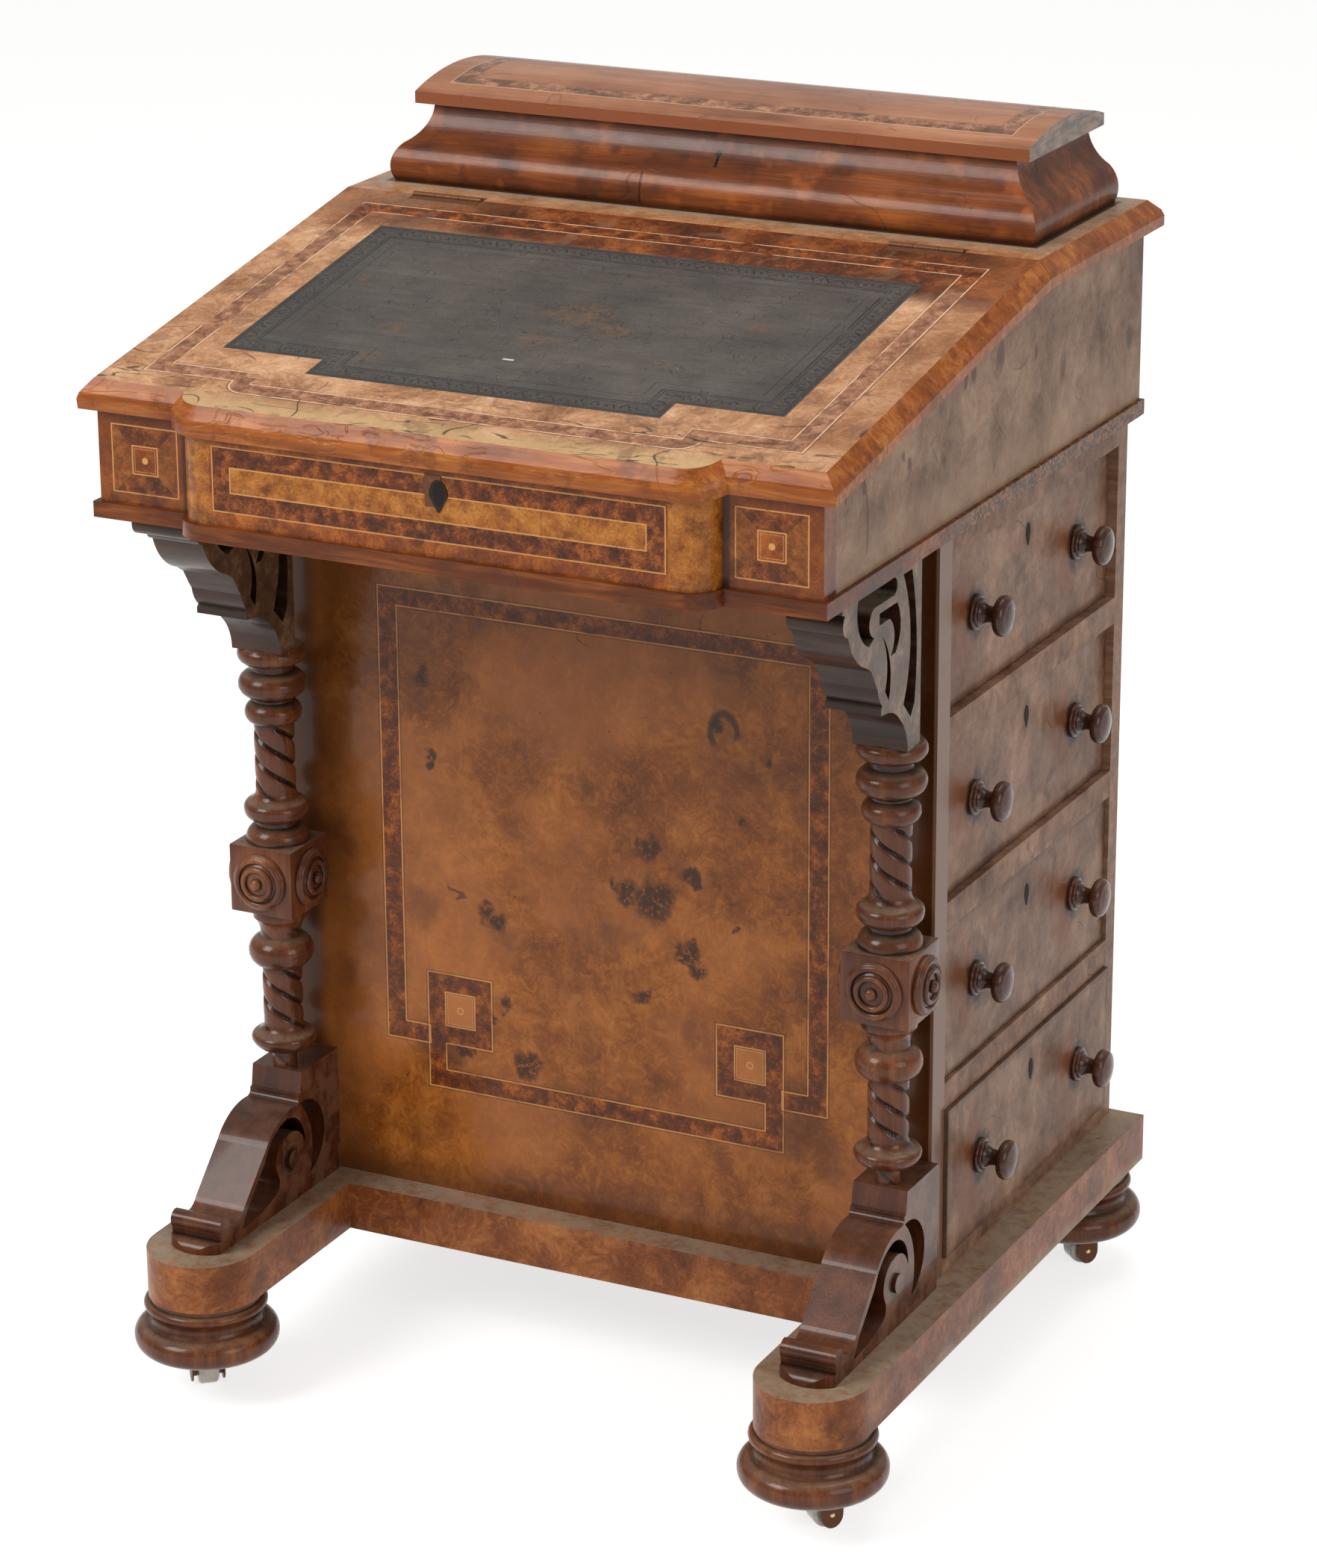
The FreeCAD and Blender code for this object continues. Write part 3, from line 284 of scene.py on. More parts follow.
# %% [markdown]
# ## Floor and light
# A pale floor catches the shadow. It glows white to the camera and in reflections only, so the white
# comes from the floor itself and not from more light on the desk. One large soft lamp stands high on the
# left front, a weaker one fills from the right, and the world evens out the rest.

# %% Floor
WHITE = (1.0, 1.0, 1.0, 1.0)
FLOOR_SIZE = 14.0
FLOOR_SHADE = 0.55
FLOOR_GLOW = 0.72

floor_material = bpy.data.materials.new("pale_floor")
board = Board(floor_material)
seen = board.node("ShaderNodeLightPath", out="Is Camera Ray").high(
    board.node("ShaderNodeLightPath", out="Is Glossy Ray"))
matt = board.node("ShaderNodeBsdfDiffuse", {"Color": (FLOOR_SHADE, FLOOR_SHADE, FLOOR_SHADE, 1)})
glow = board.node("ShaderNodeEmission", {"Color": WHITE, "Strength": seen * FLOOR_GLOW})
board.node("ShaderNodeOutputMaterial", {"Surface": board.node("ShaderNodeAddShader", {0: matt, 1: glow})})
shape = bmesh.new()
bmesh.ops.create_grid(shape, x_segments=1, y_segments=1, size=FLOOR_SIZE)
floor = stand("studio_floor", bpy.data.meshes.new("studio_floor"))
shape.to_mesh(floor.data)
shape.free()
floor.data.materials.append(floor_material)

# %% Lamps and world
WORLD_LIGHT = 0.42
world = bpy.data.worlds.new("studio")
scene.world = world
board = Board(world)
fill = board.node("ShaderNodeBackground", {"Color": (1.0, 0.985, 0.97, 1), "Strength": WORLD_LIGHT})
shown = board.node("ShaderNodeBackground", {"Color": WHITE, "Strength": 1.0})
ray = board.node("ShaderNodeLightPath", out="Is Camera Ray")
sky = board.node("ShaderNodeMixShader", {0: ray, 1: fill, 2: shown})
board.node("ShaderNodeOutputWorld", {"Surface": sky})


def soft_lamp(name, place, aim, width, power):
    """A square lamp that points at a spot."""
    lamp = bpy.data.lights.new(name, "AREA")
    lamp.shape = "RECTANGLE"
    lamp.size = lamp.size_y = width
    lamp.energy = power
    lamp.color = (1.0, 0.985, 0.965)
    holder = stand(name, lamp)
    holder.location = place
    holder.rotation_euler = (Vector(aim) - Vector(place)).to_track_quat("-Z", "Y").to_euler()


soft_lamp("key_lamp", (-1.6, -2.4, 2.6), (0, 0, 0.5), 1.6, 76)
soft_lamp("fill_lamp", (2.8, -1.2, 1.5), (0, 0, 0.45), 1.6, 24)
soft_lamp("top_lamp", (0.2, 0.6, 3.2), (0, 0, 0.6), 2.0, 26)
scene.view_settings.view_transform = "Standard"

# %% [markdown]
# ## Walnut, three ways
# Burr veneer is cut from a growth full of buds: clouds of colour, tight curls and small dark eyes. Plain
# walnut has long grain with dark pores. Sun takes most of the grain away and leaves soft clouds. All three
# are built from noise on the piece's own millimetres: burr pushes its coordinates about before it samples,
# and plain wood stretches them along the grain. Each recipe returns a colour and a height.

# %% Wood recipes
GRAIN = {"x": (0.045, 1, 1), "y": (1, 0.045, 1), "z": (1, 1, 0.045)}


def burr(paint, dark, middle, light, seed=0.0, lump=34.0):
    curled = paint.warped(paint.seeded(seed), lump, lump * 0.55)
    clouds = paint.noise(curled, lump, 5.0, 0.62)
    curls = paint.noise(curled, lump / 5, 4.0, 0.6, 1.6)
    fine = paint.noise(curled, 1.5, 5.0, 0.75)
    tone = clouds * 0.56 + curls * 0.30 + fine * 0.24 - 0.05
    colour = paint.ramp(tone, (0.36, dark), (0.50, middle), (0.64, light))
    veins = abs(curls - 0.5).rises(0.030, 0.004) * clouds.rises(0.56, 0.42)
    eyes = paint.cells(curled, lump / 3.4).rises(0.16, 0.03) * clouds.rises(0.50, 0.40)
    return paint.mix((eyes * 0.75).high(veins * 0.45), colour, dark), curls * 0.5 + fine * 0.5


def bleached(paint, dark, middle, light, seed=0.0, lump=62.0):
    moved = paint.seeded(seed)
    curled = paint.warped(moved, lump, lump * 0.45)
    clouds = paint.noise(curled, lump, 5.0, 0.64)
    haze = paint.noise(curled, 11.0, 5.0, 0.66)
    fine = paint.noise(paint.stretched(moved, 1, 1, 0.4), 1.5, 4.0, 0.7)
    tone = clouds * 0.62 + haze * 0.24 + fine * 0.18 - 0.02
    return paint.ramp(tone, (0.37, dark), (0.51, middle), (0.65, light)), haze * 0.4 + fine * 0.6


def plain_wood(paint, dark, middle, light, seed=0.0, width=7.0, along="x"):
    moved = paint.seeded(seed)
    run = paint.stretched(paint.warped(moved, 90.0, 14.0), *GRAIN[along])
    bands = paint.noise(run, width, 4.0, 0.55, 0.4)
    patches = paint.noise(moved, 85.0, 3.0, 0.55)
    pores = paint.noise(run, 0.9, 2.0, 0.6)
    fine = paint.noise(paint.stretched(moved, *GRAIN[along]), 1.8, 3.0, 0.6)
    tone = bands * 0.40 + patches * 0.42 + fine * 0.18
    colour = paint.ramp(tone, (0.32, dark), (0.50, middle), (0.68, light))
    return paint.mix(pores.rises(0.60, 0.72) * 0.35, colour, dark), pores * 0.7 + bands * 0.3


# %% Colours of the finishes
HONEY = (78, 32, 7), (140, 68, 16), (192, 110, 36)
CROSSBAND = (38, 16, 5), (104, 47, 13), (182, 100, 36)
LIGHT_BURR = (112, 56, 15), (166, 98, 34), (200, 134, 58)
FADED_LID = (118, 74, 44), (180, 130, 92), (218, 174, 134)
FADED_BAND = (84, 50, 34), (150, 100, 72), (198, 148, 112)
WARM_BACK = (44, 17, 4), (98, 46, 14), (162, 90, 36)
ORANGE = (98, 44, 12), (156, 84, 32), (206, 132, 66)
BOX_WOOD = (54, 23, 8), (114, 56, 20), (170, 96, 40)
BOX_LID = (112, 66, 44), (160, 104, 72), (190, 134, 98)
PANEL_BURR = (82, 38, 9), (140, 78, 26), (182, 112, 50)
FADED_SIDE = (92, 66, 50), (140, 110, 88), (178, 146, 120)
FADED_DRAWER = (90, 58, 41), (136, 101, 79), (176, 138, 110)
RED_TURNED = (54, 25, 12), (98, 52, 28), (150, 90, 52)
DEEP_CARVED = (44, 19, 9), (84, 41, 21), (126, 70, 38)
SLEDGE_WOOD = (82, 38, 15), (138, 78, 40), (186, 118, 66)
KNOB_WOOD = (34, 16, 10), (74, 38, 26), (114, 66, 44)
DULL_EBONY = (26, 14, 9), (56, 33, 23), (96, 66, 48)
GREY_SAWN = (56, 38, 27), (106, 78, 58), (164, 134, 106)
PINE = (150, 112, 70), (182, 146, 98), (206, 174, 128)
STRING = (214, 156, 92)
PALE_STRING = (232, 200, 162)
STAIN = (34, 22, 17)
GREY_DUST = (158, 144, 124)
# a near-black for dirt and painted shade in hollows and grooves
GRIME_AND_SHADE = (24, 15, 11)


# %% Marks of age
def stains(paint, stain, grain, level, amount, seed=0.0):
    """A coat of old ink and water marks: patches with a soft rim."""
    spots = paint.noise((seed, 31.0 - seed, seed * 0.3), grain, 4.0, 0.6, 0.7)
    return spots.rises(level, level + 0.05) * amount, stain


def dust(paint, amount):
    """A coat of dust and worn polish on faces that look up."""
    patchy = paint.mottle(9.0, 6.0, 0.75)
    lying = paint.facing(2).rises(0.50, 0.97) * (patchy.rises(0.32, 0.60) * 0.55 + 0.35)
    return lying * amount, GREY_DUST


def polish(paint, low, high, grain=14.0):
    """Roughness that varies with handling."""
    handled = paint.noise((17.0, 5.0, 11.0), grain, 3.0, 0.55)
    return handled * (high - low) * 1.6 + (low - (high - low) * 0.3)


def cracks(paint, grain, spread, seed=0.0, fine=0.006):
    """Hairlines where a slow noise crosses its middle value, broken up by another."""
    moved = paint.moved(seed, 9.0 - seed, seed * 0.6)
    line = abs(paint.noise(paint.warped(moved, grain / 3, 3.0), grain, 1.0) - 0.5).rises(fine, fine / 3)
    return line * paint.noise(moved, grain * 0.7, 2.0).rises(1 - spread, 1.06 - spread)


def spot(paint, ragged, place, size, core):
    """A dark bud or dent round a place; the ragged coordinates give it an uneven outline."""
    away = paint.vector("DISTANCE", ragged, place, "Value")
    return (away / size).rises(1.0, core)


def specks(paint, grain, share, seed=0.0):
    """Scattered small dots, such as worm holes or chips."""
    moved = paint.moved(seed, seed * 1.7, 3.0)
    dot = paint.cells(paint.warped(moved, grain / 4, grain / 10), grain).rises(0.09, 0.05)
    return dot * paint.noise(moved, grain * 2.5, 1.0).rises(1 - share, 1.04 - share)


def wood(name, recipe, colours, roughness, seed=0.0, dusty=0.0, stained=0.0, coat=0.08, scratched=0.0,
         grime_and_shade=0.0, extra=None, **cut):
    """A wood finish with optional stains, hairlines, marks of its own, dust, and dirt with painted shade in
    its hollows.
    """
    paint = Paint(name)
    colour, height = recipe(paint, *colours, seed, **cut)
    if stained:
        colour = paint.coats(colour, stains(paint, STAIN, 60.0, 0.60, stained, seed))
    if scratched:
        lines = cracks(paint, 60.0, 0.45, seed)
        dots = specks(paint, 8.0, 0.42, seed)
        colour = paint.coats(colour, (lines * scratched, STAIN), (dots * scratched, STAIN))
        height = height - lines * 2
    if extra:
        colour, height = extra(paint, colour, height)
    if dusty:
        colour = paint.coats(colour, dust(paint, dusty))
    if grime_and_shade:
        # dirt and painted shade in the piece's hollows, placed by ambient occlusion
        colour = paint.mix(paint.crevice(9.0).rises(0.93, 0.50) * grime_and_shade, colour, GRIME_AND_SHADE)
    return paint.finish(colour, polish(paint, *roughness), height, 0.10, coat=coat)


def dress(material, *names):
    """Gives a material to CAD pieces."""
    for name in names:
        mesh = nodes[name].data
        mesh.materials.clear()
        mesh.materials.append(material)


# %% [markdown]
# ## Sides, drawers and frames
# The working side has stood towards a window: its walnut is bleached to a pinkish grey, with short dark
# scratches, hairline cracks, and brown shadows where hands have kept the polish alive round the knobs.

# %% Side boards and drawers
KNOB_SPREAD = 92.0          # half the distance between a drawer's knobs
KNOB_LEVEL = 57             # above the drawer's floor
KEY_LEVEL = 89              # above the drawer's floor too
DRAWER_EDGES = 0.9, 113.1   # lower and upper edge of a front, above the drawer's floor
DRAWER_MIDDLE = 381.25      # from the apron's face
DRAWER_ENDS = 230.5, 532.0  # its front and back end
DRAWER_FLOORS = (528.0, 394.0, 260.0, 126.0)
SIDE_FACE = 266.6           # the outer face of the right side board
SIDE_SPOTS = ((234, 770, 7), (222, 766, 4), (281, 769, 9), (393, 736, 7), (393, 728, 5), (344, 757, 4),
              (131, 731, 5), (121, 739, 3), (33, 735, 3), (59, 733, 4), (520, 727, 8))


def side_marks(paint, colour, height):
    """Bleached boards: short upright strokes, dark spots, and one long curved split near the front."""
    stroke = paint.noise(paint.stretched(paint.moved(0, 40, 0), 1, 1, 0.3), 4.2, 2.0, 0.6)
    patch = paint.mottle(46.0, 2.0)
    dark = stroke.rises(0.66, 0.72) * patch.rises(0.46, 0.60)
    level = paint.z - 708
    split = abs(paint.deep - 66 + level * level * 0.006).rises(1.3, 0.4) * within(paint.z, 690, 742, 3.0)
    ragged = paint.stretched(paint.warped(paint.point, 12.0, 9.0), 1, 1, 0.6)
    spots = strongest(*(spot(paint, ragged, (SIDE_FACE, y - FRONT_MM, z * 0.6), size, 0.4)
                        for y, z, size in SIDE_SPOTS))
    mark = strongest(dark * 0.55, split * 0.8, spots * patch.rises(0.20, 0.42) * 0.75)
    colour = paint.coats(colour, (paint.z.rises(724, 690) * 0.35, FADED_SIDE[2]), (mark, (78, 54, 46)))
    return colour, height - split * 3


def drawer_marks(low):
    """The marks of one drawer front: painted shade along its edges, warm halos in front of its knobs, and a
    dark ring round each knob.
    """
    def marks(paint, colour, height):
        blot = paint.mottle(11.0, 3.0)
        edge = inset(paint.deep, paint.z, *DRAWER_ENDS, *(low + edge for edge in DRAWER_EDGES))
        # painted shade along the front's edges, where it meets the rails, mottled by a noise
        colour = paint.mix(edge.rises(7, 0.5) * (blot * 0.6 + 0.15), colour, (52, 34, 28))
        for side in (-1, 1):
            ahead = paint.deep - (DRAWER_MIDDLE + side * KNOB_SPREAD)
            away = hypot(ahead / 25, (paint.z - (low + KNOB_LEVEL)) / 26) + (blot - 0.5) * 0.8
            colour = paint.coats(colour, (away.rises(2.3, 0.6) * ahead.rises(10, -22) * 0.8, (124, 66, 32)),
                                 (away.rises(0.86, 0.50) * 0.85, (36, 22, 17)))
        key = hypot(paint.deep - DRAWER_MIDDLE, paint.z - low - KEY_LEVEL, 0.35) + (blot - 0.5) * 6
        return paint.mix(key.rises(11, 4) * 0.55, colour, (84, 62, 54)), height
    return marks


dress(wood("walnut_side", bleached, FADED_SIDE, (0.42, 0.60), 3.0, coat=0.05, scratched=0.35,
           extra=side_marks), "case_side_right", "case_side_left")
dress(wood("walnut_frame", bleached, FADED_DRAWER, (0.40, 0.58), 14.0, coat=0.05, scratched=0.5,
           lump=34.0), "drawer_rails")
dress(wood("walnut_back", plain_wood, FADED_DRAWER, (0.38, 0.56), 24.0, scratched=0.3),
      "pedestal_back_panel", "case_back")
dress(wood("walnut_left", plain_wood, FADED_DRAWER, (0.36, 0.54), 27.0, scratched=0.4, along="y"),
      "dummy_fronts", "pedestal_left_panel")
knob_finish = wood("knob_polish", plain_wood, KNOB_WOOD, (0.18, 0.34), 4.0, coat=0.3, dusty=0.2, grime_and_shade=0.8,
                   width=3.0)
dress(knob_finish, "dummy_knobs")
for number, low in enumerate(DRAWER_FLOORS, 1):
    drawer = f"drawer_{number}"
    dress(wood(f"walnut_{drawer}", bleached, FADED_DRAWER, (0.36, 0.54), 30.0 + 19 * number, stained=0.35,
               scratched=0.4, extra=drawer_marks(low)), drawer + "_front")
    dress(wood(f"pine_{drawer}", plain_wood, PINE, (0.5, 0.7), 5.0 * number, coat=0.0), drawer + "_carcase")
    dress(knob_finish, drawer + "_knobs")

# %% [markdown]
# ## Mouldings, feet and carvings
# Turned and carved walnut keeps a darker, redder polish, because hands and sun reach little of it. Dust
# has settled on every ledge that looks up, so it is painted by the surface's own direction.

# %% Feet, mouldings and carvings
def broken_edge(paint, colour, height):
    """The right-hand moulding has lost its nose: raw fibres and chips show along the side."""
    grit = paint.mottle(3.2, 5.0, 0.7)
    zone = paint.x.rises(262.0, 263.5) * paint.deep.rises(150, 240)
    chips = paint.mix(grit.rises(0.44, 0.60), (46, 26, 13), (158, 98, 46))
    return paint.mix(zone * 0.9, colour, chips), height + grit * zone * 6


def volute_marks(paint, colour, height):
    """Painted shade in a ring round the volute's button for a groove, a faint painted highlight ring
    outside it for a bead, and a bleached outer face.
    """
    away = hypot(paint.deep - 138, paint.z - 148)
    patchy = paint.mottle(20.0, 4.0, 0.6)
    worn = abs(paint.facing(0)).rises(0.7, 0.95) * patchy.rises(0.40, 0.60)
    # a dark ring of painted shade for a groove, then a faint pale ring of painted highlight for a bead
    return paint.coats(colour, (within(away, 7.4, 10.6, 0.6) * 0.85, (46, 32, 24)),
                       (within(away, 10.6, 12.0, 0.6) * 0.25, (150, 108, 76)),
                       (worn * 0.45, (138, 98, 72))), height


def bracket_marks(paint, colour, height):
    """The sawn outer faces have bleached to a dusty grey-brown; the front edges stay dark."""
    sawn = abs(paint.facing(0)).rises(0.6, 0.9)
    pale, _ = bleached(paint, *GREY_SAWN, 9.0, 24.0)
    return paint.mix(sawn * 0.9, colour, pale), height


def base_marks(paint, colour, height):
    """Mop water has bleached the lower edges to a chalky grey."""
    splash = paint.mottle(15.0, 5.0, 0.7)
    upright = 1 - paint.facing(2).rises(0.3, 0.8)
    low = (paint.z + (splash - 0.5) * 26).rises(88, 76) * paint.deep.rises(60, 200) * upright
    return paint.mix(low * 0.6, colour, (166, 148, 126)), height


dress(wood("walnut_moulding", plain_wood, WARM_BACK, (0.24, 0.40), 8.0, scratched=0.3, extra=broken_edge),
      "case_base_moulding")
dress(wood("walnut_turned", plain_wood, RED_TURNED, (0.20, 0.38), 2.0, dusty=0.3, coat=0.2, grime_and_shade=0.9,
           width=12.0, along="z"), "rosettes", "bun_feet")
dress(wood("walnut_carved", plain_wood, DEEP_CARVED, (0.20, 0.34), 6.0, dusty=0.12, coat=0.2, grime_and_shade=0.9,
           extra=volute_marks, width=14.0, along="z"), "scroll_foot_left", "scroll_foot_right")
dress(wood("walnut_bracket", plain_wood, DULL_EBONY, (0.26, 0.42), 16.0, dusty=0.8, coat=0.15, grime_and_shade=0.9,
           extra=bracket_marks), "bracket_left", "bracket_right")
dress(wood("walnut_sledge", burr, SLEDGE_WOOD, (0.28, 0.46), 9.0, dusty=0.95, stained=0.2, scratched=0.3,
           extra=base_marks, lump=56.0), "sledge_left", "sledge_right")
dress(wood("walnut_plinth", burr, SLEDGE_WOOD, (0.28, 0.46), 12.0, dusty=0.8, lump=60.0), "plinth_rails")
dress(wood("pine_inside", plain_wood, PINE, (0.5, 0.7), 1.0, coat=0.0, along="y"), "case_bottom",
      "drawer_runners")

# %% [markdown]
# ## The inlaid writing lid
# The lid is veneered in burr round the leather. A crossband runs between two pale strings, a finger's
# width inside the moulding, and follows the step of the front. Each rectangle is a distance from its own
# edge, and the larger of two distances joins two rectangles into one stepped outline.

# %% The lid
BAND_WIDE = 14.0


def lid_finish():
    paint = Paint("burr_lid")
    field, relief = burr(paint, *FADED_LID, 12.0, 46.0)
    warm, _ = burr(paint, *WARM_BACK, 21.0, 40.0)
    lean = paint.x.rises(-240, -100) * 0.35 + 0.65
    smear = paint.noise((70, 0, 0), 26.0, 5.0, 0.7)
    field = paint.coats(
        # the back strip is warmer and darker: unfaded veneer, with painted shade from the box behind it,
        # less of it to the left
        field, ((paint.deep + paint.x * 0.06).rises(256, 286) * lean, warm),
        (smear.rises(0.54, 0.68) * 0.40, (122, 78, 48)), (paint.x.rises(205, 262) * 0.35, (150, 92, 52)),
        (paint.deep.rises(8, -16) * 0.7, (196, 164, 116)))
    band, _ = burr(paint, *FADED_BAND, 3.0, 9.0)
    deep_band, _ = burr(paint, *CROSSBAND, 5.0, 9.0)
    # the crossband darkens along the same back strip, partly as painted shade from the box
    band = paint.mix(paint.deep.rises(262, 300), band, deep_band)
    depth = inset(paint.x, paint.deep, -241.5, 241.5, 21, 318).high(
        inset(paint.x, paint.deep, -172.5, 172.5, 4.5, 110, 15))
    worn = paint.mottle(24.0, 2.0).rises(0.34, 0.52)
    shade_line = string_at(depth, -1.4, 0.8).high(string_at(depth, BAND_WIDE + 1.2, 0.6) * 0.6)
    strings = string_at(depth, 0).high(string_at(depth, BAND_WIDE))
    along = paint.stretched(paint.warped(paint.point, 30.0, 5.0), 0.16, 1, 1)
    long_split = abs(paint.noise(along, 13.0, 2.0) - 0.5).rises(0.022, 0.006)
    ragged = paint.mottle(26.0, 3.0).rises(0.46, 0.58)
    split = (cracks(paint, 70.0, 0.50, 4.0) * paint.deep.rises(190, 90)).high(
        long_split * ragged * paint.deep.rises(44, 20))
    colour = paint.coats(
        field, (within(depth, 0, BAND_WIDE), band), (shade_line * 0.75 * worn, (92, 54, 36)),
        (strings * 0.85 * worn, PALE_STRING), stains(paint, (120, 86, 66), 30.0, 0.58, 0.5, 8.0),
        (split * 0.8, STAIN), (specks(paint, 9.0, 0.40, 2.0) * 0.6 * paint.deep.rises(120, 20), STAIN))
    nose, grain = plain_wood(paint, *ORANGE, 31.0)
    chips = specks(paint, 7.0, 0.38, 6.0)
    bruise = paint.noise((12, 0, 0), 22.0, 4.0, 0.65)
    nose = paint.coats(nose, (chips * 0.75, (70, 30, 12)), (bruise.rises(0.52, 0.66) * 0.55, (96, 42, 16)))
    level = paint.facing(2)
    top = level.rises(0.955, 0.975)
    joint = level.rises(0.86, 0.90) * level.rises(0.976, 0.965)
    colour = paint.mix(joint * 0.7, paint.mix(top, nose, colour), (96, 52, 28))
    rough = paint.mix(top, polish(paint, 0.22, 0.36), polish(paint, 0.34, 0.50))
    height = relief * 0.4 + grain * 0.6 - split * 3 - chips * 2
    return paint.finish(colour, rough, height, 0.12, coat=0.04)


dress(lid_finish(), "slope_board")

# %% [markdown]
# ## The leather
# The skiver is a thin tooled hide glued into the lid. Its grain is small rounded cells; the border was
# pressed with hot brass wheels, so its lines and waves sink in and follow the stepped outline. Rubbing has
# left rusty patches where the dye is gone.

# %% Leather
RUST = (104, 74, 46)
BORDER_LINES = ((2.2, 0.9), (4.0, 0.6), (15.5, 0.6), (18.0, 1.1))       # depth and width of each
WAVE_DEEP = 9.5         # how far inside the edge the wavy lines run
WAVE_LONG = 11
SCUFFS = ((-102, 82, 9), (-111, 127, 11), (132, 189, 10), (-8, 133, 13), (6, 132, 10), (94, 119, 7),
          (6, 180, 24), (38, 159, 15), (-7, 176, 16), (-172, 196, 7))


def leather_finish():
    paint = Paint("tooled_leather")
    depth = inset(paint.x, paint.deep, -208, 208, 66, 283).high(
        inset(paint.x, paint.deep, -131, 131, 43, 140))
    across = abs(paint.x)
    beside = across.rises(186, 187).high(within(across, 110, 132) * paint.deep.rises(86, 84))
    along = paint.x + (paint.deep - paint.x) * beside
    wave = (along * (2 * math.pi / WAVE_LONG)).math("SINE")
    ripple = (along * (4 * math.pi / WAVE_LONG) + 1.0).math("SINE")
    vine = abs(depth - WAVE_DEEP - wave * 3.2).rises(1.3, 0.4)
    leaves = abs(depth - WAVE_DEEP + wave * 2.6).rises(1.1, 0.3) * ripple.rises(-0.2, 0.4)
    lines = strongest(*(string_at(depth, *line) for line in BORDER_LINES))
    worn = paint.mottle(16.0, 3.0).rises(0.26, 0.46)
    tooling = strongest(vine, leaves, lines, string_at(depth, 27.0, 0.7) * 0.6) * worn
    cells = paint.cells(paint.warped(paint.point, 6.0, 1.2), 1.5)
    clouds = paint.mottle(70.0, 4.0, 0.6)
    streaks = paint.noise(paint.stretched(paint.point, 0.16, 1, 1), 7.0, 3.0, 0.6)
    tone = clouds * 0.6 + streaks * 0.3 + cells * 0.15
    hide = paint.ramp(tone, (0.36, (52, 46, 41)), (0.52, (71, 64, 58)), (0.68, (90, 82, 74)))
    raised = vine.high(leaves) * paint.mottle(2.5, 3.0, 0.7).rises(0.50, 0.60)
    blot = paint.mottle(5.0, 4.0, 0.7)
    rubs = strongest(*(hypot(paint.x - x, paint.deep - y, 1.8).rises(size * 1.3, size * 0.5)
                       for x, y, size in SCUFFS))
    creases = cracks(paint, 17.0, 0.50, 19.0, 0.010)
    scratch = cracks(paint, 34.0, 0.40, 7.0, 0.004)
    fleck = in_box(paint.x, paint.deep, -12.5, -4.5, 98.6, 100.4, 0.5).high(
        specks(paint, 22.0, 0.36, 13.0) * 0.6)
    colour = paint.coats(
        hide, (depth.rises(20, 4) * 0.45, (50, 50, 52)), (tooling * 0.85, (22, 21, 23)),
        (raised * 0.5, (142, 118, 86)), (rubs * blot.rises(0.42, 0.60) * 0.85, RUST),
        (creases * 0.45, (34, 30, 28)), (scratch * 0.4, (132, 124, 114)), (fleck * 0.9, (226, 222, 214)))
    height = cells * 0.5 + blot * 0.5 - tooling * 1.6 - scratch * 0.5 - creases
    return paint.finish(colour, tone * 0.35 + 0.26, height, 0.42, coat=0.15, specular=0.35)


dress(leather_finish(), "leather_skiver")

# %% [markdown]
# ## The apron's inlay
# The front of the case shows the best burr: a pale panel inside a dark crossband, and at each end a square
# of four mitred quarters round a small dotted square. Pale strings part them all.

# %% Apron
END_MIDDLE = 230.6      # middle of the inlaid square at each end
END_LEVEL = 707.7


